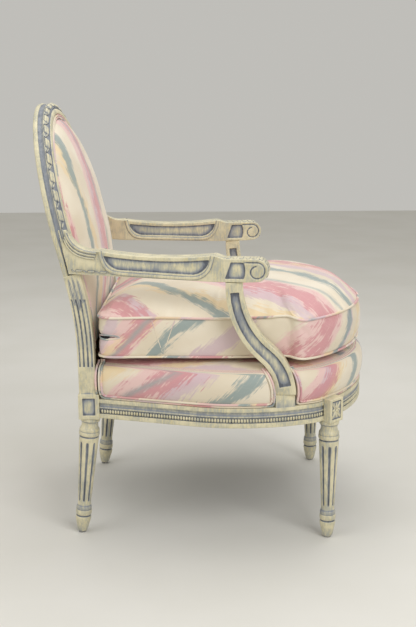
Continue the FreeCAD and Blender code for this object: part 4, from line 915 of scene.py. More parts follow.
@dataclass(frozen=True)
class WovenFinish:
    """Plain woven stuff: webbing, burlap, dust cloth or tape."""

    name: str
    light: str
    dark: str
    threads: float
    depth: float = 0.4
    stripe: Optional[str] = None
    stripe_place: float = 0.017

    def material(self) -> Material:
        """Builds the material.

        Returns:
            The material.
        """
        s = Shader(self.name)
        cloth = s.cloth()
        warps = s.wave(cloth, self.threads, "X")
        wefts = s.wave(cloth, self.threads, "Y")
        over = s.scaled(warps, wefts)
        uneven = s.noise(s.mapped(cloth, (40, 300, 1)), 1.0, 3, 0.6)
        lit = s.scaled(over, s.rise(uneven, 0.2, 0.8, 0.5, 1.0))
        colour = s.mix(lit, srgb(self.dark), srgb(self.light))
        if self.stripe:
            away = s.math("SUBTRACT", s.math("ABSOLUTE", s.first_axis(cloth)), self.stripe_place)
            band = s.rise(s.math("ABSOLUTE", away), 0.0032, 0.0026, 0, 0.8)
            colour = s.mix(band, colour, srgb(self.stripe))
        s.set(Base_Color=colour, Roughness=s.rise(uneven, 0.2, 0.8, 0.75, 0.95), Specular_IOR_Level=0.25)
        s.bump(s.math("ADD", over, s.scaled(uneven, 0.3)), self.depth, 0.6)
        return s.material


@dataclass(frozen=True)
class TimberFinish:
    """Bare beech of the inner rails and glue blocks."""

    light: str = "c9a77b"
    dark: str = "9c754a"

    def material(self) -> Material:
        """Builds the material.

        Returns:
            The material.
        """
        s = Shader("bare_beech")
        place = s.place()
        figure = s.noise(s.mapped(place, (6, 60, 60)), 1.0, 3, 0.6)
        fleck = s.noise(s.mapped(place, (60, 700, 700)), 1.0, 2, 0.5)
        colour = s.mix(s.rise(figure, 0.3, 0.7), srgb(self.light), srgb(self.dark))
        colour = s.mix(s.scaled(s.rise(fleck, 0.6, 0.8), 0.4), colour, srgb("7d5a36"))
        s.set(Base_Color=colour, Roughness=s.rise(figure, 0.2, 0.8, 0.55, 0.75))
        s.bump(fleck, 0.2, 0.3)
        return s.material


@dataclass(frozen=True)
class MetalFinish:
    """Small metal ware, dulled by handling."""

    name: str
    bright: str
    dull: str
    roughness: float

    def material(self) -> Material:
        """Builds the material.

        Returns:
            The material.
        """
        s = Shader(self.name)
        place = s.place()
        stain = s.noise(place, 260, 3, 0.6)
        scratch = s.noise(s.mapped(place, (400, 3000, 400)), 1.0, 2, 0.5)
        s.set(Base_Color=s.mix(s.rise(stain, 0.4, 0.7), srgb(self.bright), srgb(self.dull)), Metallic=1.0,
              Roughness=s.rise(stain, 0.2, 0.8, self.roughness, self.roughness + 0.25))
        s.bump(scratch, 0.05, 0.3)
        return s.material


class Finishes:
    """Every material of the chair, made once."""

    def __init__(self) -> None:
        """Makes the materials."""
        self.paint = PaintFinish().material()
        self.cover = PrintFinish().material()
        self.beech = TimberFinish().material()
        self.jute = WovenFinish("jute_webbing", "b79a6b", "7a6140", 180, 0.8, "8d3f33").material()
        self.burlap = WovenFinish("burlap", "b59a6a", "6d5638", 210, 0.9).material()
        self.cambric = WovenFinish("dust_cambric", "3a3a3d", "1d1d20", 420, 0.3).material()
        self.tape = WovenFinish("zipper_tape", "cfc3a8", "a3967c", 520, 0.3).material()
        self.brass = MetalFinish("zipper_brass", "b9995c", "7d6a45", 0.3).material()
        self.steel = MetalFinish("glide_steel", "a7a8aa", "6f6c68", 0.35).material()


@dataclass
class Maker:
    """Sub-assembly of the chair, with the materials that it is dressed in."""

    finish: Finishes


# Layout shared by the pieces


@dataclass(frozen=True)
class SeatPlan:
    """Plan of the seat rails' outer face."""

    half_width: float = 314.0
    widest_y: float = -80.0
    side_radius: float = 366.0
    front_y: float = -368.0
    corner_radius: float = 70.0
    corner_y: float = -208.37
    rear_x: float = 241.0
    rear_y: float = 227.0

    @property
    def side_centre(self) -> Array:
        """Centre of the side arc."""
        return np.array([self.half_width - self.side_radius, self.widest_y])

    @property
    def corner_centre(self) -> Array:
        """Centre of the front corner's arc.

        Returns:
            The centre in plan.
        """
        reach = self.side_radius - self.corner_radius
        x = self.side_centre[0] + math.sqrt(reach ** 2 - (self.corner_y - self.widest_y) ** 2)
        return np.array([x, self.corner_y])

    @property
    def front_radius(self) -> float:
        """Radius of the front arc, tangent to both corners.

        Returns:
            The radius.
        """
        x, y = self.corner_centre
        rise = y - self.front_y
        return (x * x + rise * rise - self.corner_radius ** 2) / (2 * (rise - self.corner_radius))

    @property
    def front_centre(self) -> Array:
        """Centre of the front arc."""
        return np.array([0.0, self.front_y + self.front_radius])

    @property
    def tangent(self) -> float:
        """Angle at which the straight rear run leaves the side arc."""
        rear = np.array([self.rear_x, self.rear_y]) - self.side_centre
        return math.atan2(rear[1], rear[0]) - math.acos(self.side_radius / np.linalg.norm(rear))

    def front_arcs(self, inset: float, first: float) -> list[tuple[Array, float, float, float]]:
        """Side, corner and front arcs of the left half, moved inward.

        Args:
            inset: distance inward.
            first: angle on the side arc to start at.

        Returns:
            Centre, radius, first and last angle of each arc.
        """
        to_corner = self.corner_centre - self.side_centre
        side_end = math.atan2(to_corner[1], to_corner[0])
        from_front = self.corner_centre - self.front_centre
        corner_end = math.atan2(from_front[1], from_front[0])
        return [
            (self.side_centre, self.side_radius - inset, first, side_end),
            (self.corner_centre, self.corner_radius - inset, side_end, corner_end),
            (self.front_centre, self.front_radius - inset, corner_end, -math.pi / 2),
        ]

    def path(self, step: float, rear_y: float) -> tuple[Array, Array]:
        """Outline from the left rear round the front to the right rear.

        Args:
            step: distance between points.
            rear_y: where the straight runs begin.

        Returns:
            Points and outward directions, each of shape (n, 2).
        """
        out = np.array([math.cos(self.tangent), math.sin(self.tangent)])
        touch = self.side_centre + out * self.side_radius
        start = np.array([touch[0] - (rear_y - touch[1]) * math.tan(self.tangent), rear_y])
        count = max(2, int(np.linalg.norm(touch - start) / step))
        points = [start + (touch - start) * k / count for k in range(count)]
        normals = [out] * count
        for centre, radius, first, last in self.front_arcs(0.0, self.tangent):
            count = max(2, int(abs(last - first) * radius / step))
            for k in range(count):
                angle = first + (last - first) * k / count
                way = np.array([math.cos(angle), math.sin(angle)])
                points.append(centre + way * radius)
                normals.append(way)
        points.append(np.array([0.0, self.front_y]))
        normals.append(np.array([0.0, -1.0]))
        half, ways = np.array(points), np.array(normals)
        flip = np.array([-1.0, 1.0])
        return np.vstack([half, half[-2::-1] * flip]), np.vstack([ways, ways[-2::-1] * flip])


@dataclass(frozen=True)
class BackPlan:
    """Raked back: x across, s up the raked plane from the end of the bend, t forward from the rear face."""

    height: float = 950.0
    rear_y: float = 270.0
    bend_start: float = 420.0
    bend_radius: float = 720.0
    rake_degrees: float = 13.2
    arch_radius: float = 275.0
    foot_x: float = 241.0
    block_top: float = 329.0
    width: float = 40.0
    depth: float = 36.0
    bead_rise: float = 7.92

    @property
    def rake(self) -> float:
        """Rake of the plane in radians."""
        return math.radians(self.rake_degrees)

    @property
    def arch_s(self) -> float:
        """Height of the arch's centre up the plane.

        Returns:
            The height.
        """
        end_z = self.bend_start + self.bend_radius * math.sin(self.rake)
        rise = self.height - end_z - self.bead_rise * math.sin(self.rake)
        return rise / math.cos(self.rake) - self.arch_radius

    @property
    def lean(self) -> float:
        """Lean of the stiles, which run tangent into the arch."""
        drop = self.arch_s + self.bend_radius * self.rake + self.bend_start - self.block_top
        return math.atan2(drop, self.foot_x) - math.acos(self.arch_radius / math.hypot(self.foot_x, drop))

    def place(self, x: Array, s: Array, t: Array) -> Array:
        """Points of the back: raked above the bend, round it, and upright below.

        Args:
            x: places across.
            s: heights up the plane, negative in the bend and below.
            t: depths forward of the rear face.

        Returns:
            Points with the last axis of length 3.
        """
        x, s, t = np.broadcast_arrays(x, s, t)
        length = self.bend_radius * self.rake
        angle = np.clip((s + length) / self.bend_radius, 0, self.rake)
        above = np.maximum(s, 0)
        below = np.minimum(s + length, 0)
        reach = self.bend_radius + t
        y = self.rear_y + self.bend_radius - reach * np.cos(angle) + above * math.sin(self.rake)
        z = self.bend_start + reach * np.sin(angle) + above * math.cos(self.rake) + below
        return np.stack([x, y, z], axis=-1)

    def edge(self, inset: float, tail: float, step: float) -> tuple[Array, Array]:
        """Line inside the frame's outer edge: up one stile, round the arch, down the other.

        Args:
            inset: distance inward.
            tail: length of each stile below the arch.
            step: distance between points.

        Returns:
            Points (x, s) and outward directions.
        """
        lean, radius = self.lean, self.arch_radius - inset
        out = np.array([math.cos(lean), -math.sin(lean)])
        down = np.array([-math.sin(lean), -math.cos(lean)])
        spring = np.array([0, self.arch_s]) + out * radius
        count = max(1, int(tail / step))
        points = [spring + down * tail * (1 - k / count) for k in range(count)]
        ways = [out] * count
        sweep = math.pi + 2 * lean
        for angle in np.linspace(-lean, sweep - lean, int(sweep * radius / step) + 1):
            way = np.array([math.cos(angle), math.sin(angle)])
            points.append(np.array([0, self.arch_s]) + way * radius)
            ways.append(way)
        flip = np.array([-1.0, 1.0])
        points += [p * flip for p in points[count - 1::-1]]
        ways += [w * flip for w in ways[count - 1::-1]]
        return np.array(points), np.array(ways)

    def cut(self, inset: float, foot_s: float) -> tuple[float, float, float]:
        """Size of a flat panel of the back as it is cut: a half round over a straight-sided part.

        Args:
            inset: distance of its edge from the frame's outer edge.
            foot_s: its lower edge.

        Returns:
            Width and length of the cloth that it is cut from, and its own area, in metres.
        """
        radius, drop = self.arch_radius - inset, self.arch_s - foot_s
        top = radius / math.cos(self.lean)
        area = math.pi * radius ** 2 / 2 + drop * (2 * top - drop * math.tan(self.lean))
        return 2 * radius * MM, (radius + drop) * MM, area * MM * MM

    def axes(self, ways: Array) -> tuple[Array, Array]:
        """Directions in space across the raked plane and forward from it.

        Args:
            ways: directions (x, s) in the plane.

        Returns:
            The same directions in space, and the forward direction for each.
        """
        up = np.array([0, math.sin(self.rake), math.cos(self.rake)])
        forward = np.array([0, -math.cos(self.rake), math.sin(self.rake)])
        out = ways[:, :1] * np.array([1.0, 0, 0]) + ways[:, 1:] * up
        return out, np.broadcast_to(forward, out.shape)


PLAN = SeatPlan()
BACK = BackPlan()


# What repeats along a path


@dataclass
class PathRepeat:
    """Copies of a small carved shape, set along a path by a node tree."""

    name: str
    spacing: float
    template: Piece
    material: Material

    def tree(self) -> bpy.types.NodeTree:
        """Builds the tree: path to curve, even points, one copy on each, then a plain mesh.

        Returns:
            The tree.
        """
        tree = bpy.data.node_groups.new(self.name, "GeometryNodeTree")
        for name, kind in (("Geometry", "Geometry"), ("Spacing", "Float"), ("Shape", "Object"),
                           ("Finish", "Material")):
            tree.interface.new_socket(name, in_out="INPUT", socket_type="NodeSocket" + kind)
        tree.interface.new_socket("Geometry", in_out="OUTPUT", socket_type="NodeSocketGeometry")
        make = tree.nodes.new
        source, sink = make("NodeGroupInput"), make("NodeGroupOutput")
        curve, points = make("GeometryNodeMeshToCurve"), make("GeometryNodeResampleCurve")
        points.mode = "LENGTH"
        shape, copies = make("GeometryNodeObjectInfo"), make("GeometryNodeInstanceOnPoints")
        tangent, out = make("GeometryNodeInputTangent"), make("GeometryNodeInputNamedAttribute")
        out.data_type = "FLOAT_VECTOR"
        out.inputs["Name"].default_value = "out"
        turn, real = make("FunctionNodeAxesToRotation"), make("GeometryNodeRealizeInstances")
        turn.primary_axis, turn.secondary_axis = "X", "Z"
        dress = make("GeometryNodeSetMaterial")
        for first, last in (
            (source.outputs["Geometry"], curve.inputs["Mesh"]),
            (curve.outputs["Curve"], points.inputs["Curve"]),
            (source.outputs["Spacing"], points.inputs["Length"]),
            (source.outputs["Shape"], shape.inputs["Object"]),
            (points.outputs["Curve"], copies.inputs["Points"]),
            (shape.outputs["Geometry"], copies.inputs["Instance"]),
            (tangent.outputs[0], turn.inputs[0]),
            (out.outputs["Attribute"], turn.inputs[1]),
            (turn.outputs[0], copies.inputs["Rotation"]),
            (copies.outputs[0], real.inputs[0]),
            (real.outputs[0], dress.inputs["Geometry"]),
            (source.outputs["Finish"], dress.inputs["Material"]),
            (dress.outputs[0], sink.inputs[0]),
        ):
            tree.links.new(first, last)
        return tree

    def along(self, paths: Sequence[tuple[Array, Array]]) -> Piece:
        """Sets the copies.

        Args:
            paths: points and outward directions of each path.

        Returns:
            A plain mesh object with all of them.
        """
        mesh = bpy.data.meshes.new(self.name)
        places = np.vstack([points for points, _ in paths]) * MM
        edges, first = [], 0
        for points, _ in paths:
            edges += [(first + k, first + k + 1) for k in range(len(points) - 1)]
            first += len(points)
        mesh.from_pydata(places.tolist(), edges, [])
        layer = mesh.attributes.new("out", "FLOAT_VECTOR", "POINT")
        layer.data.foreach_set("vector", np.vstack([out for _, out in paths]).astype(np.float32).ravel())
        guide = placed(self.name, mesh, None)
        modifier = guide.modifiers.new("repeat", "NODES")
        modifier.node_group = self.tree()
        values = {"Spacing": self.spacing * MM, "Shape": self.template, "Finish": self.material}
        for item in modifier.node_group.interface.items_tree:
            if item.in_out == "INPUT" and item.name in values:
                modifier[item.identifier] = values[item.name]
        result = evaluated(guide)
        bpy.data.objects.remove(guide)
        bpy.data.objects.remove(self.template)
        result.shade_smooth()
        return placed(self.name, result, self.material)


# Wooden frame


@dataclass
class TurnedLeg(Maker):
    """Turned, tapered and fluted leg."""

    top_z: float = 272.0
    flutes: int = 8
    flute_foot: float = 76.0
    flute_head: float = 217.0
    flute_half: float = 2.65
    flute_depth: float = 2.9
    flute_at: float = 18.0
    turns: int = 144
    front_x: float = 246.0
    front_y: float = -275.0
    rear_x: float = 220.0
    rear_y: float = 250.0
    rear_kick: float = 27.0
    outline: tuple[Corner, ...] = (
        (0.0, 2.8, 0, 0.3), (10.2, 2.8, 1.0, 0.35), (11.6, 7.0, 3.0, 0.3), (14.6, 20.0, 4.0, 0.22),
        (17.2, 33.0, 3.0, 0.1), (17.5, 38.0, 1.2, 0.05), (15.4, 39.4, 0.5, 0.95), (15.4, 42.0, 0.5, 0.95),
        (17.2, 43.2, 1.2, 0.1), (18.0, 48.5, 3.0, 0.0), (17.4, 54.0, 1.2, 0.1), (16.2, 55.2, 0.4, 0.85),
        (17.0, 56.6, 1.0, 0.5), (17.0, 61.5, 1.6, 0.48), (15.2, 64.6, 0.8, 0.6), (14.5, 70.0, 3.0, 0.2),
        (21.8, 225.0, 1.0, 0.05), (21.6, 226.6, 0.5, 0.3), (20.0, 227.6, 0.4, 0.95), (20.0, 229.8, 0.4, 0.95),
        (22.2, 230.8, 0.8, 0.2), (23.4, 235.0, 2.6, 0.0), (22.6, 239.2, 0.8, 0.15), (21.6, 240.2, 0.4, 0.8),
        (22.4, 241.4, 0.8, 0.15), (22.4, 245.4, 1.6, 0.0), (19.4, 249.6, 2.0, 0.18), (17.9, 256.0, 3.0, 0.2),
        (18.6, 261.6, 1.6, 0.3), (20.4, 263.4, 0.5, 0.85), (21.6, 265.6, 0.6, 0.2), (21.6, 272.0, 0.4, 0.1),
        (0.0, 272.0, 0, 0.2),
    )

    def rows(self) -> tuple[Array, Array]:
        """Net of the leg on the z axis.

        Returns:
            Points of shape (heights, turns, 3) and the glaze at each.
        """
        points, glaze = trace(self.outline, closed=False)
        points, glaze = densify(points, glaze, 2.2)
        radius, z = points[:, :1], points[:, 1:]
        angle = full_turn(self.turns)[None, :]
        pitch = 2 * math.pi / self.flutes
        off = np.abs((angle + pitch / 2) % pitch - pitch / 2) * radius
        half = self.flute_half * radius / self.flute_at
        from_end = np.minimum(z - self.flute_foot, self.flute_head - z)
        inside = np.clip(1 - np.clip(1 - from_end / (1.6 * half + 1e-9), 0, 1) ** 2, 0, 1) * (from_end > 0)
        width = half * np.sqrt(inside) + 1e-9
        hollow = np.sqrt(np.clip(1 - (off / width) ** 2, 0, 1)) * (from_end > 0)
        deep = self.flute_depth * hollow * np.sqrt(inside)
        r = radius - deep
        rows = np.stack([r * np.cos(angle), r * np.sin(angle), np.broadcast_to(z, r.shape)], axis=-1)
        rim = np.exp(-np.clip(off - width, 0, None) / 1.2) * (from_end > 0) * 0.25
        in_flutes = np.maximum(smoothstep(hollow, 0.0, 0.75), rim)
        return rows, np.maximum(np.broadcast_to(glaze[:, None], r.shape), in_flutes)

    def build(self, name: str, side: Side, rear: bool) -> Piece:
        """Makes one leg in its place.

        Args:
            name: name of the piece.
            side: side of the chair.
            rear: whether it is a rear leg, which kicks back.

        Returns:
            The leg.
        """
        rows, glaze = self.rows()
        if rear:
            tilt = math.atan2(self.rear_kick, self.top_z)
            y, z = rows[..., 1].copy(), rows[..., 2] - self.top_z
            rows[..., 1] = y * math.cos(tilt) - z * math.sin(tilt)
            rows[..., 2] = y * math.sin(tilt) + z * math.cos(tilt) + self.top_z
            rows = rows + np.array([self.rear_x, self.rear_y, 0])
        else:
            rows = rows + np.array([self.front_x, self.front_y, 0])
        rows = rows * np.array([side.value, 1, 1])
        draft = Draft()
        draft.grid(rows, glaze, wrap=True)
        return draft.make(name, self.finish.paint, 50)


@dataclass
class LegBlocks(Maker):
    """Front legs: turning, block turned to the corner, and its leaf rosette."""

    leg: TurnedLeg
    block_half: float = 21.0
    low_z: float = 272.0
    high_z: float = 325.0
    recess: float = 3.0
    leaf_long: float = 17.5
    leaf_short: float = 11.0
    leaf_half: float = 3.7
    leaf_stretch: float = 1.3
    button: float = 3.1
    button_foot: float = 2.2
    button_rise: float = 1.6

    def leaf(self, draft: Draft, angle: float, length: float, origin: Array, across: Array, up: Array,
             out: Array) -> None:
        """Adds one carved leaf that springs from the rosette's middle.

        Args:
            draft: mesh to add it to.
            angle: direction of the leaf in the panel, in radians.
            length: length of the leaf.
            origin: middle of the panel.
            across: direction across the panel.
            up: direction up the panel.
            out: direction out of the panel.
        """
        u = np.linspace(0, 1, 12)[:, None]
        v = np.linspace(-1, 1, 11)[None, :]
        width = self.leaf_half * np.sin(np.pi * np.clip(u, 0.02, 0.99)) ** 0.6
        width = width * (1 + 0.16 * np.cos(5 * np.pi * u))
        along = 2.0 + u * length
        aside = v * width
        lift = (1.0 - v ** 2) * (1.8 + 1.7 * np.sin(np.pi * u)) - 1.1 * np.exp(-(v / 0.16) ** 2) + 0.4
        a = along * math.cos(angle) - aside * math.sin(angle)
        b = (along * math.sin(angle) + aside * math.cos(angle)) * self.leaf_stretch
        rows = origin + a[..., None] * across + b[..., None] * up + lift[..., None] * out
        glaze = np.clip(np.abs(v) ** 3 + 0.8 * np.exp(-(v / 0.2) ** 2), 0, 1) * np.ones_like(u)
        draft.relief(rows, glaze)

    def rosette(self, side: Side) -> Piece:
        """Carved rosette on the block's outer face.

        Args:
            side: side of the chair.

        Returns:
            The rosette.
        """
        turn = math.sqrt(0.5)
        out = np.array([turn * side.value, -turn, 0])
        across = np.array([turn * side.value, turn, 0])
        up = np.array([0, 0, 1.0])
        axis = np.array([self.leg.front_x * side.value, self.leg.front_y, (self.low_z + self.high_z) / 2])
        origin = axis + out * (self.block_half - self.recess - 0.3)
        draft = Draft()
        for k in range(8):
            length = self.leaf_long if k % 2 else self.leaf_short
            self.leaf(draft, k * math.pi / 4, length, origin, across, up, out)
        u = np.linspace(0, math.pi / 2, 7)[:, None]
        v = full_turn(20)[None, :]
        flat = self.button * np.sin(u)
        rise = self.button_foot + self.button_rise * np.cos(u) * np.ones_like(v)
        rows = origin + (flat * np.cos(v))[..., None] * across + (flat * np.sin(v))[..., None] * up
        rows = rows + rise[..., None] * out
        rings = draft.grid(rows, np.clip(u / 1.6, 0, 1) ** 3 * np.ones_like(v), wrap=True)
        draft.cap(rings[-1])
        return draft.make("rosette_" + side.word, self.finish.paint, 60)

    def build(self) -> None:
        """Makes both front legs."""
        block = carved("front_leg_left", FINE_GRAIN, [below(self.low_z)])
        for side in Side:
            piece = placed("front_block_" + side.word, on_side(block, side), self.finish.paint)
            painted(piece, "front_leg_" + side.word)
            painted(self.leg.build("front_turning_" + side.word, side, False))
            painted(self.rosette(side))


@dataclass
class SeatRails(Maker):
    """Bowed, moulded seat rails with a row of pearls."""

    leg: TurnedLeg
    bottom: float = 275.0
    pearl_pitch: float = 6.2
    pearl_z: float = 16.2
    pearl_depth: float = 2.6
    pearl_size: tuple[float, float, float] = (2.75, 4.6, 2.7)
    leg_clear: float = 25.0
    step: float = 3.0
    post_y: float = -176.8
    post_half: float = 22.0
    post_section: tuple[Corner, ...] = (
        (-9.0, 41.0, 0.5, 0.3), (-0.3, 41.0, 0.6, 0.5), (-0.3, 69.6, 2.0, 0.06), (-9.0, 70.5, 0.5, 0.3),
    )
    section: tuple[Corner, ...] = (
        (-32.0, 0.0, 1.0, 0.1), (0.0, 0.0, 1.6, 0.08), (0.0, 10.0, 1.4, 0.12), (-4.0, 10.4, 0.5, 0.9),
        (-4.0, 22.2, 0.5, 0.62), (-1.0, 22.6, 0.5, 0.5), (-1.0, 25.2, 0.5, 0.3), (-3.4, 26.4, 1.6, 0.72),
        (-4.2, 30.0, 2.4, 0.5), (-1.6, 34.2, 1.4, 0.42), (0.0, 35.0, 0.8, 0.1), (0.0, 43.0, 1.6, 0.05),
        (-8.0, 43.2, 0.6, 0.6), (-8.0, 70.0, 1.0, 0.2), (-32.0, 70.0, 1.0, 0.2),
    )

    def piece(self, name: str, corners: Sequence[Corner], points: Array, ways: Array) -> Piece:
        """Makes one rail, or a block on it, along part of the seat's outline.

        Args:
            name: name of the piece.
            corners: its section.
            points: plan points.
            ways: outward directions.

        Returns:
            The piece.
        """
        section, glaze = trace(corners)
        up = np.tile([0.0, 0, 1], (len(points), 1))
        draft = Draft()
        draft.sweep(at_height(points, self.bottom), at_height(ways, 0.0), up, section, glaze)
        return draft.make(name, self.finish.paint, 30)

    def pearl(self) -> Piece:
        """One pearl, taller than wide.

        Returns:
            The template.
        """
        u = np.linspace(0, math.pi, 6)[:, None]
        v = full_turn(8)[None, :]
        ball = np.stack([np.sin(u) * np.cos(v), np.sin(u) * np.sin(v), np.cos(u) * np.ones_like(v)], axis=-1)
        draft = Draft()
        draft.grid(ball * np.array(self.pearl_size), smoothstep(u, 1.0, 1.9) * np.ones_like(v), wrap=True)
        return draft.make("pearl", None, 180)

    def build(self) -> None:
        """Makes the rails, their post seats and the pearls."""
        points, ways = PLAN.path(self.step, PLAN.rear_y)
        front = points[:, 1] < self.leg.front_y - 2
        left = (points[:, 0] > 0) & ~front
        right = (points[:, 0] < 0) & ~front
        for side, part in ((Side.LEFT, left), (Side.RIGHT, right)):
            rail = self.piece("side_moulding_" + side.word, self.section, points[part], ways[part])
            painted(rail, "side_rail_" + side.word)
            near = part & (np.abs(points[:, 1] - self.post_y) <= self.post_half)
            painted(self.piece("post_seat_" + side.word, self.post_section, points[near], ways[near]))
        painted(self.piece("front_moulding", self.section, points[front], ways[front]), "front_rail")
        from_leg = np.hypot(np.abs(points[:, 0]) - self.leg.front_x, points[:, 1] - self.leg.front_y)
        clear = (from_leg > self.leg_clear) & (points[:, 1] < PLAN.rear_y - self.step)
        runs = []
        for part in (left, front, right):
            keep = part & clear
            path = at_height(points[keep] - ways[keep] * self.pearl_depth, self.bottom + self.pearl_z)
            runs.append((path, at_height(ways[keep], 0.0)))
        pearls = PathRepeat("pearl_row", self.pearl_pitch, self.pearl(), self.finish.paint)
        painted(pearls.along(runs))


@dataclass
class BackFrame(Maker):
    """Moulded arch, its ribbon carving, and the stiles below it."""

    leg: TurnedLeg
    tail: float = 62.0
    step: float = 4.0
    husk_leaves: tuple[tuple[float, float, float], ...] = (
        (9.0, -58.0, 66.0), (18.0, -72.0, 84.0), (27.0, -58.0, 66.0),
    )
    ribbon_pitch: float = 41.0
    ribbon_seat: tuple[float, float] = (-9.2, 27.9)
    ribbon_way: tuple[float, float] = (0.66, 0.75)
    section: tuple[Corner, ...] = (
        (-40.0, 0.0, 1.0, 0.1), (-4.2, 0.0, 1.5, 0.1), (-0.6, 1.6, 2.5, 0.0), (0.0, 5.5, 2.5, 0.0),
        (-0.8, 9.6, 2.0, 0.05), (-3.8, 11.2, 0.5, 0.85), (-6.4, 14.0, 2.0, 0.8), (-7.2, 17.0, 2.0, 0.72),
        (-6.2, 20.4, 2.0, 0.66), (-3.8, 23.0, 0.8, 0.35), (-15.6, 33.4, 0.8, 0.9), (-16.9, 31.0, 0.4, 1.0),
        (-18.8, 32.5, 0.5, 0.9), (-20.2, 35.2, 1.5, 0.1), (-25.6, 36.6, 4.0, 0.0), (-31.0, 35.6, 1.6, 0.15),
        (-32.0, 29.2, 0.4, 0.6), (-40.0, 29.0, 0.5, 0.3),
    )

    def sweep(self, name: str, points: Array, ways: Array) -> Piece:
        """Moulding along part of the frame's outer edge.

        Args:
            name: name of the piece.
            points: line (x, s) of the outer edge.
            ways: outward directions.

        Returns:
            The moulding.
        """
        section, glaze = trace(self.section)
        out, forward = BACK.axes(ways)
        path = BACK.place(points[:, 0], points[:, 1], 0.0)
        draft = Draft()
        draft.sweep(path, out, forward, section, glaze)
        return draft.make(name, self.finish.paint, 30)

    @staticmethod
    def ribbon(scale: float = 1.0) -> Piece:
        """One turn of the twisted ribbon: a face of the ribbon and the twist after it.

        Args:
            scale: size against the ribbon of the arch.

        Returns:
            The template.
        """
        draft = Draft()
        u = np.linspace(-1, 1, 11)[:, None]
        v = np.linspace(-1, 1, 9)[None, :]
        x = 13.0 * u + 2.6 * v
        y = 6.6 * v * np.ones_like(u)
        vein = 1.0 * np.exp(-(v / 0.16) ** 2) * (1 - u ** 4)
        z = 4.4 * (1 - np.abs(v) ** 3.2) * (1 - np.abs(u) ** 6) - vein - 0.4
        glaze = np.clip(np.abs(v) ** 5 + np.abs(u) ** 8 + 0.5 * np.exp(-(v / 0.18) ** 2), 0, 1)
        draft.relief(np.stack([x, y, z], axis=-1) * scale, glaze)
        x = 20.5 + 6.5 * u + 0.8 * v
        y = -3.6 * u + 2.3 * v
        z = 3.0 * (1 - v ** 2) * (1 - np.abs(u) ** 5) - 0.4 + 0 * x
        draft.relief(np.stack([x, y, z], axis=-1) * scale, np.clip(0.35 + v ** 4 + np.abs(u) ** 6, 0, 1))
        return draft.make("ribbon", None, 180)

    def husks(self, side: Side) -> Piece:
        """Leaves carved on the outer side of the stile, where the flutes end under the arm.

        Args:
            side: side of the chair.

        Returns:
            The leaves.
        """
        draft = Draft()
        u = np.linspace(0, 1, 18)[:, None]
        v = np.linspace(-1, 1, 9)[None, :]
        for t_mid, s_low, length in self.husk_leaves:
            s = s_low + u * length
            half = 4.6 * np.sin(np.pi * np.clip(u * 0.92 + 0.04, 0, 1)) ** 0.8
            t = t_mid + v * half
            z = BACK.bend_start + BACK.bend_radius * BACK.rake + s
            x = BACK.foot_x + (z - BACK.block_top) * math.tan(BACK.lean) + 0 * v
            lift = 2.6 * (1 - v ** 2) * np.sin(np.pi * u) ** 0.5 - 1.0 * np.exp(-(v / 0.2) ** 2) - 0.3
            rows = BACK.place((x + lift) * side.value, s + 0 * v, t)
            glaze = np.clip(0.3 + np.abs(v) ** 3 + 0.7 * np.exp(-(v / 0.22) ** 2), 0, 1)
            draft.relief(rows, glaze * np.ones_like(u))
        return draft.make("husk_leaves_" + side.word, self.finish.paint, 60)

    def build(self) -> None:
        """Makes the arch, the ribbon and both stiles."""
        points, ways = BACK.edge(0.0, self.tail, self.step)
        low = int(self.tail / self.step)
        arch = slice(low, len(points) - low)
        painted(self.sweep("crest_moulding", points[arch], ways[arch]), "crest_rail")
        lean = BACK.lean
        joint = BACK.place(points[0, 0], points[0, 1], 0.0) * MM
        up = BACK.axes(np.array([[math.sin(lean), math.cos(lean)]]))[0][0]
        stile = carved("rear_stile_left", GRAIN, [below(self.leg.top_z), (Vector(joint), Vector(up))])
        for side in Side:
            piece = placed("stile_" + side.word, on_side(stile, side), self.finish.paint)
            painted(piece, "rear_stile_" + side.word)
            part = slice(0, low + 1) if side is Side.LEFT else slice(len(points) - low - 1, len(points))
            painted(self.sweep("stile_moulding_" + side.word, points[part], ways[part]))
            painted(self.leg.build("rear_turning_" + side.word, side, True))
            painted(self.husks(side))
        out, forward = BACK.axes(ways)
        line = BACK.place(points[:, 0], points[:, 1], 0.0)
        line = line + out * self.ribbon_seat[0] + forward * self.ribbon_seat[1]
        away = out * self.ribbon_way[0] + forward * self.ribbon_way[1]
        ribbon = PathRepeat("ribbon_carving", self.ribbon_pitch, self.ribbon(), self.finish.paint)
        painted(ribbon.along([(line, away)]))


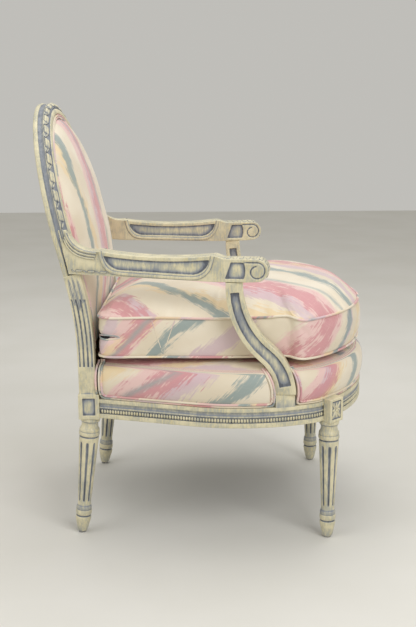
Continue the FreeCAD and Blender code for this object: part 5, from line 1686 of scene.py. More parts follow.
@dataclass
class ScrollArms(Maker):
    """Open arms with sunk panels and a volute, on S-shaped posts."""

    scroll_x: float = 304.0
    scroll_y: float = -117.0
    scroll_z: float = 615.5
    scroll_radius: float = 23.5
    half: float = 21.0
    border_width: float = 9.0
    border_rise: float = 3.0
    root_ridges: tuple[tuple[float, float], ...] = ((3.2, 6.0), (9.4, 5.4), (15.0, 4.6))
    root_slant: float = 0.35
    root_rise: float = 2.8
    root_line: tuple[tuple[float, float], ...] = ((322.0, 606.0), (374.0, 608.2))
    root_pitch: float = 24.6
    root_scale: float = 0.6
    bead_pitch: float = 12.6
    bead_half: tuple[float, float] = (4.2, 19.5)
    border_keys: tuple[tuple[float, float], ...] = (
        (91.0, 644.0), (94.0, 630.0), (101.0, 614.0), (115.0, 602.0), (138.0, 597.8), (210.0, 600.5),
        (284.0, 604.6), (306.0, 609.0), (318.0, 620.0), (325.0, 636.0), (328.0, 650.5),
    )
    root_keys: tuple[tuple[float, float], ...] = (
        (334.0, 649.6), (352.0, 651.6), (370.0, 656.6), (384.0, 665.5), (393.0, 677.0), (399.0, 690.0),
    )

    @property
    def splay(self) -> float:
        """Angle by which the arm turns outward to the front.

        Returns:
            The angle in radians.
        """
        spring = BACK.arch_radius * math.cos(BACK.lean) - BACK.width / 2
        rear = BACK.place(spring, 0.0, BACK.depth)
        return math.atan2(self.scroll_x - rear[0], rear[1] - self.scroll_y)

    def place(self, run: Array, z: Array, aside: Array, side: Side) -> Array:
        """Points on the arm.

        Args:
            run: distances back from the scroll's centre.
            z: heights.
            aside: distances outward from the arm's middle.
            side: side of the chair.

        Returns:
            Points in space.
        """
        run, z, aside = np.broadcast_arrays(run, z, aside)
        c, s = math.cos(self.splay), math.sin(self.splay)
        x = self.scroll_x - run * s + aside * c
        return np.stack([x * side.value, self.scroll_y + run * c + aside * s, z], axis=-1)

    def ridge(self, draft: Draft, keys: Sequence[Sequence[float]], face: int, side: Side, width: float,
              height: float) -> None:
        """Adds a raised, rounded line on one face of the arm.

        Args:
            draft: mesh to add it to.
            keys: points (run, z) that the line passes through.
            face: 1 for the outer face and -1 for the inner.
            side: side of the chair.
            width: width of the line.
            height: how far it stands proud.
        """
        line = flowing(keys, 3.0)
        way = unit(np.gradient(line, axis=0))
        across = np.stack([-way[:, 1], way[:, 0]], axis=1)
        v = np.linspace(-1, 1, 9)[None, :]
        lift = np.where(np.abs(v) == 1, -0.8, height * np.sqrt(1 - v ** 2))
        run, z = line[:, :1] + across[:, :1] * v * width / 2, line[:, 1:] + across[:, 1:] * v * width / 2
        rows = self.place(run, z, face * (self.half + lift), side)
        draft.relief(rows, np.clip(1.2 * np.abs(v) ** 2.4, 0, 1) * np.ones((len(line), 1)))

    def carving(self, side: Side) -> Piece:
        """Raised border of the elbow panel and the mouldings at the arm's root.

        Args:
            side: side of the chair.

        Returns:
            The carving.
        """
        draft = Draft()
        for face in (1, -1):
            self.ridge(draft, self.border_keys, face, side, self.border_width, self.border_rise)
        for drop, width in self.root_ridges:
            keys = [(run + self.root_slant * drop, z - drop) for run, z in self.root_keys]
            self.ridge(draft, keys, 1, side, width, self.root_rise)
        return draft.make("arm_carving_" + side.word, self.finish.paint, 70)

    def beads(self) -> Piece:
        """Short flat beads across the top of each scroll.

        Returns:
            The beads.
        """
        u = np.linspace(-1, 1, 7)[:, None]
        v = np.linspace(-1, 1, 7)[None, :]
        lift = 1.8 * (1 - u ** 4) * (1 - v ** 6) - 0.4
        shape = Draft()
        long, wide = self.bead_half
        face = np.stack([long * u + 0 * v, wide * v + 0 * u, lift], axis=-1)
        shape.relief(face, np.clip(u ** 6 + v ** 8, 0, 1))
        runs = []
        for side in Side:
            flat = np.array([(run, self.scroll_z + self.scroll_radius) for run in np.arange(60.0, 0.0, -3.0)])
            turn = np.linspace(math.pi / 2, -0.5, 24)
            round_end = np.stack([-np.cos(turn), np.sin(turn)], axis=1) * self.scroll_radius
            line = even(np.vstack([flat, round_end + np.array([0.0, self.scroll_z])]), 2.0)
            out = np.where(line[:, :1] > 0, np.array([[0.0, 1.0]]),
                           (line - np.array([0.0, self.scroll_z])) / self.scroll_radius)
            points = self.place(line[:, 0], line[:, 1], 0.0, side)
            ahead = self.place(line[:, 0] + out[:, 0], line[:, 1] + out[:, 1], 0.0, side)
            runs.append((points, unit(ahead - points)))
        bead = shape.make("bead", None, 180)
        return PathRepeat("scroll_beads", self.bead_pitch, bead, self.finish.paint).along(runs)

    def under_ribbon(self) -> Piece:
        """Small ribbon carved along the lower edge of each arm's root.

        Returns:
            The ribbon.
        """
        runs = []
        for side in Side:
            line = even(np.array(self.root_line), 2.0)
            points = self.place(line[:, 0], line[:, 1], self.half + 0.4, side)
            out = self.place(line[:, 0], line[:, 1] - 0.35, self.half + 1.0, side) - points
            runs.append((points, unit(out)))
        shape = BackFrame.ribbon(self.root_scale)
        return PathRepeat("root_ribbon", self.root_pitch, shape, self.finish.paint).along(runs)

    def build(self) -> None:
        """Makes both arms and posts."""
        arm = carved("arm_left", GRAIN)
        post = carved("arm_post_left", GRAIN)
        for side in Side:
            piece = placed("arm_" + side.word + "_carved", on_side(arm, side), self.finish.paint)
            painted(piece, "arm_" + side.word)
            piece = placed("post_" + side.word + "_carved", on_side(post, side), self.finish.paint)
            painted(piece, "arm_post_" + side.word)
            painted(self.carving(side))
        painted(self.beads())
        painted(self.under_ribbon())


@dataclass
class InnerTimber(Maker):
    """Rails and glue blocks that stay as the drawing has them, and the glides."""

    shown: tuple[str, ...] = ("rear_rail",)
    bare: tuple[str, ...] = ("lower_back_rail", "corner_brace_front_left", "corner_brace_front_right",
                             "corner_brace_rear_left", "corner_brace_rear_right")

    def build(self) -> None:
        """Dresses the CAD nodes."""
        dressing = [(self.shown, self.finish.paint), (self.bare, self.finish.beech),
                    (("foot_glides",), self.finish.steel)]
        for nodes, material in dressing:
            for node in nodes:
                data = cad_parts[node].data
                data.materials.clear()
                data.materials.append(material)
                log.info("%s: dressed as drawn", node)


# Upholstery


def cord(draft: Draft, path: Array, radius: float, closed: bool = False, shift: float = 0.0) -> None:
    """Adds a fabric-covered cord along a line.

    Args:
        draft: mesh to add it to.
        path: points of the line.
        radius: radius of the cord.
        closed: whether the line is a loop.
        shift: where on the cloth its covering was cut, in metres.
    """
    tangent = np.roll(path, -1, 0) - np.roll(path, 1, 0) if closed else np.gradient(path, axis=0)
    tangent = unit(tangent)
    side = unit(np.cross(tangent, np.array([0.0, 0.0, 1.0])) + 1e-6 * np.array([1.0, 0.3, 0.0]))
    for k in range(1, len(path)):
        carried = side[k - 1] - tangent[k] * (side[k - 1] @ tangent[k])
        side[k] = carried / np.linalg.norm(carried)
    up = np.cross(side, tangent)
    turn = full_turn(CORD_SIDES)
    section = radius * np.stack([np.cos(turn), np.sin(turn)], axis=1)
    run = arc_length(path)
    if closed:
        run = np.append(run, run[-1] + np.linalg.norm(path[0] - path[-1]))
    around = np.linspace(0, 2 * math.pi * radius, CORD_SIDES + 1)
    a = (run[:, None] * 0.8 - around[None, :] * 0.6) * MM + shift
    b = (run[:, None] * 0.6 + around[None, :] * 0.8) * MM + 2 * shift
    draft.sweep(path, side, up, section, 0.0, closed, np.stack([a, b], axis=-1))


def inflate(piece: Piece, pinned: Array, pressure: float, growth: float, frames: int,
            limit: Array) -> None:
    """Fills a sewn cover by a cloth simulation and keeps the result.

    Args:
        piece: the cover; its seams stay where they are.
        pinned: True for each vertex of a seam.
        pressure: filling pressure.
        growth: how much larger the cloth was cut than the shape, as a share.
        frames: steps of the simulation.
        limit: how far each vertex may move, in metres.
    """
    start = coordinates(piece.data)
    seam = piece.vertex_groups.new(name="seam")
    seam.add([int(k) for k in np.flatnonzero(pinned)], 1.0, "REPLACE")
    modifier = piece.modifiers.new("filling", "CLOTH")
    cloth = modifier.settings
    cloth.vertex_group_mass = "seam"
    cloth.use_pressure = True
    cloth.uniform_pressure_force = pressure
    cloth.effector_weights.gravity = 0
    cloth.shrink_min = -growth
    cloth.quality = 6
    cloth.bending_stiffness = 0.6
    modifier.point_cache.frame_start = 1
    modifier.point_cache.frame_end = frames
    scene = bpy.context.scene
    for step in range(1, frames + 1):
        scene.frame_set(step)
    swollen = evaluated(piece)
    swell = coordinates(swollen) - start
    far = np.linalg.norm(swell, axis=1)
    swell *= np.minimum(1, limit / np.maximum(far, 1e-9))[:, None]
    bpy.data.meshes.remove(swollen)
    piece.modifiers.remove(modifier)
    piece.vertex_groups.remove(seam)
    move(piece.data, start + swell)
    scene.frame_set(1)


def smooth_cover(piece: Piece) -> None:
    """One level of subdivision, the same in the view and in the render.

    Args:
        piece: the cover.
    """
    finer = piece.modifiers.new("fine", "SUBSURF")
    finer.levels = 1
    finer.render_levels = 1


@dataclass
class SeatDeck(Maker):
    """Stuffed platform over the rails, with double welts at its edges."""

    rear_y: float = 226.4
    stile_y: float = 231.2
    cord_radius: float = 2.5
    welt_z: float = 321.0
    top_z: float = 402.0
    post_foot_y: float = -176.8
    post_foot_z: float = 345.0
    post_radius: float = 120.0
    post_half: float = 22.0
    reach: float = 330.0
    ring_inset: float = 40.0
    tuck: float = 17.0
    tuck_gap: tuple[float, float] = (1.0, 9.0)
    tuck_top: float = 404.0
    welt_off: float = 3.2
    welt_pitch: float = 5.0
    welt_lift: float = 1.6
    welt_end: float = 406.0
    turn_in: float = 7.0
    turn_mid: float = 2.0
    front_y: float = -260.0
    filling: float = 0.85
    stations: tuple[tuple[float, float], ...] = (
        (318.6, 7.0), (324.0, 5.2), (328.5, 2.4), (333.0, -0.8), (340.0, -3.4), (349.0, -5.0), (358.0, -5.6),
        (368.0, -5.2), (377.0, -3.6), (385.0, -0.6), (391.0, 4.0), (395.0, 9.5), (398.0, 17.0), (401.0, 27.0),
        (404.0, 42.0), (406.5, 66.0), (408.0, 100.0), (408.2, 150.0), (408.2, 210.0), (408.2, 260.0),
    )

    def post_y(self, z: Array) -> Array:
        """Middle of the arm post in side view at a height."""
        rise = np.clip((np.asarray(z, float) - self.post_foot_z) / self.post_radius, 0, 0.95)
        return self.post_foot_y + self.post_radius * (1 - np.sqrt(1 - rise ** 2))

    def post_width(self, z: Array) -> Array:
        """Half of the post's width in side view at a height."""
        rise = np.clip((np.asarray(z, float) - self.post_foot_z) / self.post_radius, 0, 0.9)
        return self.post_half / np.sqrt(1 - rise ** 2)

    def inset(self, z: Array) -> Array:
        """How far the cover lies in from the rails' face at a height."""
        heights = np.array([s[0] for s in self.stations[:13]])
        return np.interp(z, heights, np.array([s[1] for s in self.stations[:13]]))

    def on_border(self, line: Array, side: Side, lift: float) -> Array:
        """Points on the deck's border.

        Args:
            line: places (y, z) in side view.
            side: side of the chair.
            lift: distance out from the cover.

        Returns:
            Points in space.
        """
        points, ways = PLAN.path(2.0, self.rear_y)
        half = points[:, 0] >= 0
        points, ways = points[half][::-1], ways[half][::-1]
        order = np.argsort(points[:, 1], kind="stable")
        y = points[order, 1]
        x = np.interp(line[:, 0], y, points[order, 0])
        wx = np.interp(line[:, 0], y, ways[order, 0])
        wy = np.interp(line[:, 0], y, ways[order, 1])
        out = lift - self.inset(line[:, 1])
        return np.column_stack([(x + wx * out) * side.value, line[:, 0] + wy * out, line[:, 1]])

    def cover(self) -> Piece:
        """Makes the cover of the platform, drawn in at the arm posts.

        Returns:
            The cover.
        """
        points, ways = PLAN.path(4.0, self.rear_y)
        run = arc_length(points) * MM
        middle = np.array([0.0, PLAN.widest_y])
        rows, cloth = [], []
        for z, inset in self.stations:
            share = 1 - inset / self.reach if inset > self.ring_inset else None
            ring = middle + (points - middle) * share if share else points - ways * inset
            gap = np.abs(ring[:, 1] - self.post_y(z)) - self.post_width(z)
            beside = (np.abs(points[:, 0]) > 200) * (z < self.tuck_top)
            tuck = self.tuck * (1 - smoothstep(gap, *self.tuck_gap)) * beside
            ring = ring - ways * tuck[:, None]
            rows.append(at_height(ring, z))
            drop = (z - 318.0) * MM
            cloth.append(np.column_stack([0.7 * run + 0.72 * drop, drop - 0.25 * run]) if z < 397
                         else ring * MM + np.array([0.31, 0.12]))
        net = np.array(rows)
        net[:, :, 2] += 0.7 * np.sin(run / 0.041)[None, :] * np.exp(-((net[:, :, 2] - 360) / 30) ** 2)
        draft = Draft()
        index = draft.grid(net, 0.0, np.array(cloth))
        draft.cap(index[0])
        draft.cap(index[-1])
        for row in range(len(index) - 1):
            draft.cap([index[row][-1], index[row][0], index[row + 1][0], index[row + 1][-1]])
        piece = draft.make("seat_deck_cover", self.finish.cover, 60)
        smooth_cover(piece)
        return piece

    def welt_lines(self) -> list[Array]:
        """Lines (y, z) of the left welts: behind the post, and from the post to the middle of the front.

        Returns:
            Evenly spaced points of each line.
        """
        z = np.linspace(self.welt_z + 4, self.top_z, 20)
        lines = []
        for k in (0, 1):
            off = self.welt_off + self.welt_pitch * k
            low = self.welt_z + self.welt_pitch * k
            high, mid = low + self.turn_in, low + self.turn_mid
            y = self.rear_y - off
            rear = [(y + 1.0, self.welt_end), (y, 370.0), (y, high)]
            rear += [(y - self.turn_mid, mid), (y - self.turn_in, low)]
            post = [(float(self.post_y(h) + self.post_width(h) + off), float(h)) for h in z[z > high]]
            y = post[0][0]
            foot = [(120.0, low), (0.0, low), (y + self.turn_in, low), (y + self.turn_mid, mid)]
            lines.append(even(np.array(rear + foot + post), 3.0))
            post = [(float(self.post_y(h) - self.post_width(h) - off), float(h)) for h in z[z > high]]
            y = post[0][0]
            foot = [(y - self.turn_mid, mid), (y - self.turn_in, low), (self.front_y, low)]
            lines.append(even(np.array(post[::-1] + foot), 3.0))
        return lines

    def welts(self) -> Piece:
        """Double cords along the rail, up the posts and up the stiles.

        Returns:
            The cords.
        """
        draft = Draft()
        points, ways = PLAN.path(3.0, self.rear_y)
        for count, line in enumerate(self.welt_lines()):
            arms = [self.on_border(line, side, self.welt_lift) for side in Side]
            y, z = line[-1]
            if np.isclose(y, self.front_y):
                keep = points[:, 1] < self.front_y
                bow = at_height(points[keep] + ways[keep] * (self.welt_lift - self.inset(z)), z)
                joined = even(np.vstack([arms[0][:-1], bow, arms[1][::-1][1:]]), 3.0)
                cord(draft, joined, self.cord_radius, shift=0.37 * count)
            else:
                for number, arm in enumerate(arms):
                    cord(draft, arm, self.cord_radius, shift=0.21 * count + 0.13 * number)
        upright = np.column_stack([np.full(30, self.stile_y), np.linspace(332.0, 404.0, 30)])
        for side in Side:
            cord(draft, self.on_border(upright, side, 0.0), self.cord_radius, shift=0.57)
        return draft.make("seat_welt", self.finish.cover, 70)

    def build(self) -> None:
        """Makes the deck and its welts."""
        deck = settle(self.cover(), Body.FRAME, Slot.PRINT, "seat_deck")
        settle(self.welts(), Body.FRAME, Slot.WELT)


@dataclass
class BackCovers(Maker):
    """Inside back pad with its double welt, outside back, and the burlap between."""

    cord_radius: float = 2.5
    pad_inset: float = 43.0
    shoulder: float = 33.0
    crown: float = 42.0
    foot_s: float = -158.0
    tail: float = 240.0
    outside_inset: float = 40.6
    outside_foot: float = -284.0
    scrim_inset: float = 33.4
    scrim_foot: float = -176.0
    outside_cloth: float = 1.2
    scrim_cloth: float = 0.8
    inside_cords: tuple[float, float] = (34.8, 39.8)
    outside_cords: tuple[float, float] = (42.4, 47.4)
    filling: float = 0.9
    pad_rows: tuple[float, ...] = (
        1.0, 0.995, 0.985, 0.965, 0.94, 0.9, 0.85, 0.78, 0.7, 0.6, 0.5, 0.38, 0.26, 0.13, 0.02,
    )

    def crown_at(self, s: Array) -> Array:
        """Fullness of the pad at a height up the back."""
        return self.crown * np.interp(s, [-166, -125, -83, -41, 0, 60], [0.1, 0.12, 0.2, 0.5, 0.86, 1.0])

    def pad(self) -> Piece:
        """Stuffed inside back, domed under the arch.

        Returns:
            The pad.
        """
        edge, _ = BACK.edge(self.pad_inset, self.tail, 5.0)
        edge = edge[edge[:, 1] >= self.foot_s]
        foot = np.linspace(edge[-1], edge[0], 72)[1:-1]
        ring = np.vstack([edge, foot])
        spine = np.column_stack([np.zeros(len(ring)), np.clip(ring[:, 1], self.foot_s + 60, BACK.arch_s)])
        foot_row = np.concatenate([np.zeros(len(edge)), np.ones(len(foot))])
        rows, cloth = [], []
        for share in self.pad_rows:
            flat = spine + (ring - spine) * share
            full = (1 - share ** 2.6) ** 0.62
            lift = self.crown_at(flat[:, 1]) * full
            soft = 0.9 * np.sin(flat[:, 0] / 37.0 + 1.3) * np.sin(flat[:, 1] / 51.0) * full
            t = self.shoulder + lift + soft - 6.0 * foot_row * (share > 0.98)
            rows.append(BACK.place(flat[:, 0], flat[:, 1], t))
            cloth.append(np.column_stack([flat[:, 0] * 1.02, flat[:, 1]]) * MM + np.array([0.13, 0.4]))
        net, laid = np.array(rows), looped(np.array(cloth))
        draft = Draft()
        front = draft.grid(net, 0.0, laid, wrap=True)
        draft.cap(front[-1], laid[-1, :-1])
        back = BACK.place(ring[:, 0], ring[:, 1], self.shoulder - 3.5)
        rear = draft.grid(np.stack([back, net[0]]), 0.0, np.stack([laid[0], laid[0]]), wrap=True)
        draft.cap(rear[0])
        piece = draft.make("inside_back", self.finish.cover, 60)
        smooth_cover(piece)
        return piece

    def welt(self, name: str, insets: Sequence[float], t: float, low_s: float) -> Piece:
        """Double cord round a panel of the back.

        Args:
            name: name of the piece.
            insets: distance of each cord from the frame's outer edge.
            t: depth of the cords' middle.
            low_s: where they end below.

        Returns:
            The cords.
        """
        draft = Draft()
        for k, inset in enumerate(insets):
            line, _ = BACK.edge(inset, self.tail, 4.0)
            line = line[line[:, 1] >= low_s]
            cord(draft, BACK.place(line[:, 0], line[:, 1], t), self.cord_radius, shift=0.29 * k + 0.11)
        return draft.make(name, self.finish.cover, 70)

    def panel(self, inset: float, t: float, foot_s: float, foot_x: float, puff: float) -> tuple[Array, Array]:
        """Net of a flat panel of the back.

        Args:
            inset: distance from the frame's outer edge.
            t: its depth.
            foot_s: its lower edge.
            foot_x: half of its width at the lower edge.
            puff: how far its middle stands out to the rear.

        Returns:
            Points and cloth coordinates of a grid.
        """
        edge, _ = BACK.edge(inset, 320.0, 4.0)
        half = edge[edge[:, 0] >= 0]
        half = half[np.argsort(half[:, 1], kind="stable")]
        top = half[:, 1].max()
        share = np.linspace(0, 1, 70)
        s = foot_s + (top - foot_s) * (1 - (1 - share) ** 1.6)
        width = np.interp(s, half[:, 1], half[:, 0])
        arch = np.sqrt(np.maximum((BACK.arch_radius - inset) ** 2 - (s - BACK.arch_s) ** 2, 0))
        width = np.where(s > BACK.arch_s, arch, width)
        width = np.where(s < half[:, 1].min(), foot_x, width)
        u = np.linspace(-1, 1, 41)[None, :]
        x = width[:, None] * u
        out = puff * (1 - u ** 4) * np.sin(np.pi * share)[:, None] ** 0.5
        rows = BACK.place(x, s[:, None] + 0 * u, t - out)
        return rows, np.stack([x, s[:, None] + 0 * u], axis=-1) * MM + np.array([0.07, 0.9])

    def outside(self) -> Piece:
        """Fabric panel on the rear of the back.

        Returns:
            The panel.
        """
        rows, cloth = self.panel(self.outside_inset, 2.6, self.outside_foot, 196.4, 2.0)
        draft = Draft()
        draft.grid(rows[:, ::-1], 0.0, cloth[:, ::-1])
        return thicken(draft.make("outside_back", self.finish.cover, 60, solid=False), self.outside_cloth)

    def scrim(self) -> Piece:
        """Burlap tacked into the rebate behind the pad.

        Returns:
            The burlap.
        """
        rows, cloth = self.panel(self.scrim_inset, 29.6, self.scrim_foot, 200.0, -0.6)
        draft = Draft()
        draft.grid(rows, 0.0, cloth)
        return thicken(draft.make("back_scrim", self.finish.burlap, 60, solid=False), self.scrim_cloth)

    def build(self) -> None:
        """Makes the covers of the back."""
        pad = settle(self.pad(), Body.FRAME, Slot.PRINT, "inside_back_pad")
        t = self.shoulder + 1.2
        cords = self.welt("inside_welt", self.inside_cords, t, self.foot_s - 4)
        settle(cords, Body.FRAME, Slot.WELT, "inside_back_welt")
        rear = settle(self.outside(), Body.FRAME, Slot.PRINT, "outside_back_panel")
        width, length, area = BACK.cut(self.outside_inset, self.outside_foot)
        settle(self.welt("outside_welt", self.outside_cords, 1.6, -300.0), Body.FRAME, Slot.WELT)
        scrim = settle(self.scrim(), Body.FRAME, Slot.BURLAP, "back_burlap")
        width, length, area = BACK.cut(self.scrim_inset, self.scrim_foot)


@dataclass
class Underside(Maker):
    """Webbing under the deck and the dust cover below it."""

    strap: float = 50.0
    lengthwise: tuple[float, ...] = (-125.0, 0.0, 125.0)
    crosswise: tuple[float, ...] = (-255.0, -125.0, 5.0, 135.0)
    top_z: float = 345.0
    cover_z: float = 274.4
    hem: float = 19.0
    flap: tuple[float, float, float] = (190.0, 224.0, 252.0)
    tack_pitch: float = 38.0
    tack_radius: float = 3.6
    tack_height: float = 1.5
    tack_in: float = 4.5
    rebate: float = 17.0
    strap_end: float = 250.0
    strap_cloth: float = 1.4
    dust_cloth: float = 0.6
    dust_sag: float = 2.5

    def half_width(self, y: float) -> float:
        """Half of the seat's width at a depth, less the rails' rebate.

        Args:
            y: the depth.

        Returns:
            The half width.
        """
        points, _ = PLAN.path(2.0, 262.0)
        half = points[points[:, 0] >= 0]
        order = np.argsort(half[:, 1], kind="stable")
        return float(np.interp(y, half[order, 1], half[order, 0])) - self.rebate

    def straps(self, name: str, node: str, lines: Sequence[tuple[Array, Array]], z: float) -> None:
        """One layer of straps.

        Args:
            name: name of the piece.
            node: node that it stands for.
            lines: both ends of each strap's middle, in plan.
            z: height of the layer.
        """
        draft = Draft()
        for first, last in lines:
            along = np.linspace(0, 1, 40)[:, None]
            aside = np.linspace(-1, 1, 9)[None, :] * self.strap / 2
            way = unit(last - first)
            length = float(np.linalg.norm(last - first))
            across = np.array([-way[1], way[0]])
            base = first + along[..., None] * (last - first)
            flat = base + aside[..., None] * across
            ripple = 0.25 * np.sin(along * length / 19.0) + 0 * aside
            rows = np.concatenate([flat, (z + ripple)[..., None]], axis=-1)
            cloth = np.stack([aside + 0 * along, along * length + 0 * aside], axis=-1) * MM
            draft.grid(rows, 0.0, cloth)
        piece = thicken(draft.make(name, self.finish.jute, 60, solid=False), self.strap_cloth)
        settle(piece, Body.FRAME, Slot.WEBBING, node)

    def dust(self) -> None:
        """Dark cloth tacked under the rails, sagging a little."""
        points, ways = PLAN.path(6.0, self.flap[1])
        ring = points - ways * self.hem
        middle = np.array([0.0, PLAN.widest_y])
        rows, cloth = [], []
        for share in (1.0, 0.9, 0.75, 0.55, 0.35, 0.15, 0.01):
            flat = middle + (ring - middle) * share
            rows.append(at_height(flat, self.cover_z - self.dust_sag * (1 - share ** 2)))
            cloth.append(flat * MM)
        draft = Draft()
        index = draft.grid(np.array(rows), 0.0, np.array(cloth))
        laid = np.array(cloth)
        for k in range(len(rows) - 1):
            loop = [index[k][-1], index[k][0], index[k + 1][0], index[k + 1][-1]]
            draft.cap(loop, np.array([laid[k][-1], laid[k][0], laid[k + 1][0], laid[k + 1][-1]]))
        wide_x, near_y, far_y = self.flap
        x, y = np.meshgrid(np.linspace(-wide_x, wide_x, 30), np.linspace(near_y, far_y, 5))
        flap = np.stack([x, y, np.full_like(x, self.cover_z)], axis=-1)
        draft.grid(flap, 0.0, flap[..., :2] * MM)
        piece = thicken(draft.make("dust_cloth", self.finish.cambric, 60, solid=False), self.dust_cloth)
        settle(piece, Body.FRAME, Slot.DUST, "dust_cover")
        x, y = ring[:, 0], ring[:, 1]
        plan = 0.5 * abs(float(np.sum(x * np.roll(y, -1) - y * np.roll(x, -1))))
        flat = (2 * (PLAN.half_width - self.hem) * MM, (far_y - PLAN.front_y - self.hem) * MM)

    def tacks(self) -> Piece:
        """Domed tack heads along the dust cover's hem.

        Returns:
            The tack heads.
        """
        u = np.linspace(0, math.pi / 2, 4)[:, None]
        v = full_turn(9)[None, :]
        flat = self.tack_radius * np.sin(u)
        dome = np.stack([flat * np.cos(v), flat * np.sin(v), self.tack_height * np.cos(u) + 0 * v], axis=-1)
        shape = Draft()
        shape.cap(shape.grid(dome, 0.0, wrap=True)[-1])
        points, ways = PLAN.path(6.0, self.flap[1] - 8)
        line = at_height(points - ways * (self.hem + self.tack_in), self.cover_z - 0.3)
        down = np.tile([0.0, 0.0, -1.0], (len(line), 1))
        heads = PathRepeat("dust_tacks", self.tack_pitch, shape.make("tack", None, 180), self.finish.steel)
        return heads.along([(line, down)])

    def build(self) -> None:
        """Makes the webbing and the dust cover."""
        lines = []
        for x in self.lengthwise:
            front = PLAN.front_centre[1] - math.sqrt(PLAN.front_radius ** 2 - x * x)
            lines.append((np.array([x, front + self.rebate]), np.array([x, self.strap_end])))
        self.straps("straps_front_to_rear", "webbing_lengthwise", lines, self.top_z + 1.0)
        lines = []
        for y in self.crosswise:
            reach = min(self.half_width(y - self.strap / 2), self.half_width(y + self.strap / 2))
            lines.append((np.array([-reach, y]), np.array([reach, y])))
        self.straps("straps_across", "webbing_crosswise", lines, self.top_z + 3.0)
        self.dust()
        settle(self.tacks(), Body.FRAME, Slot.GLIDE)


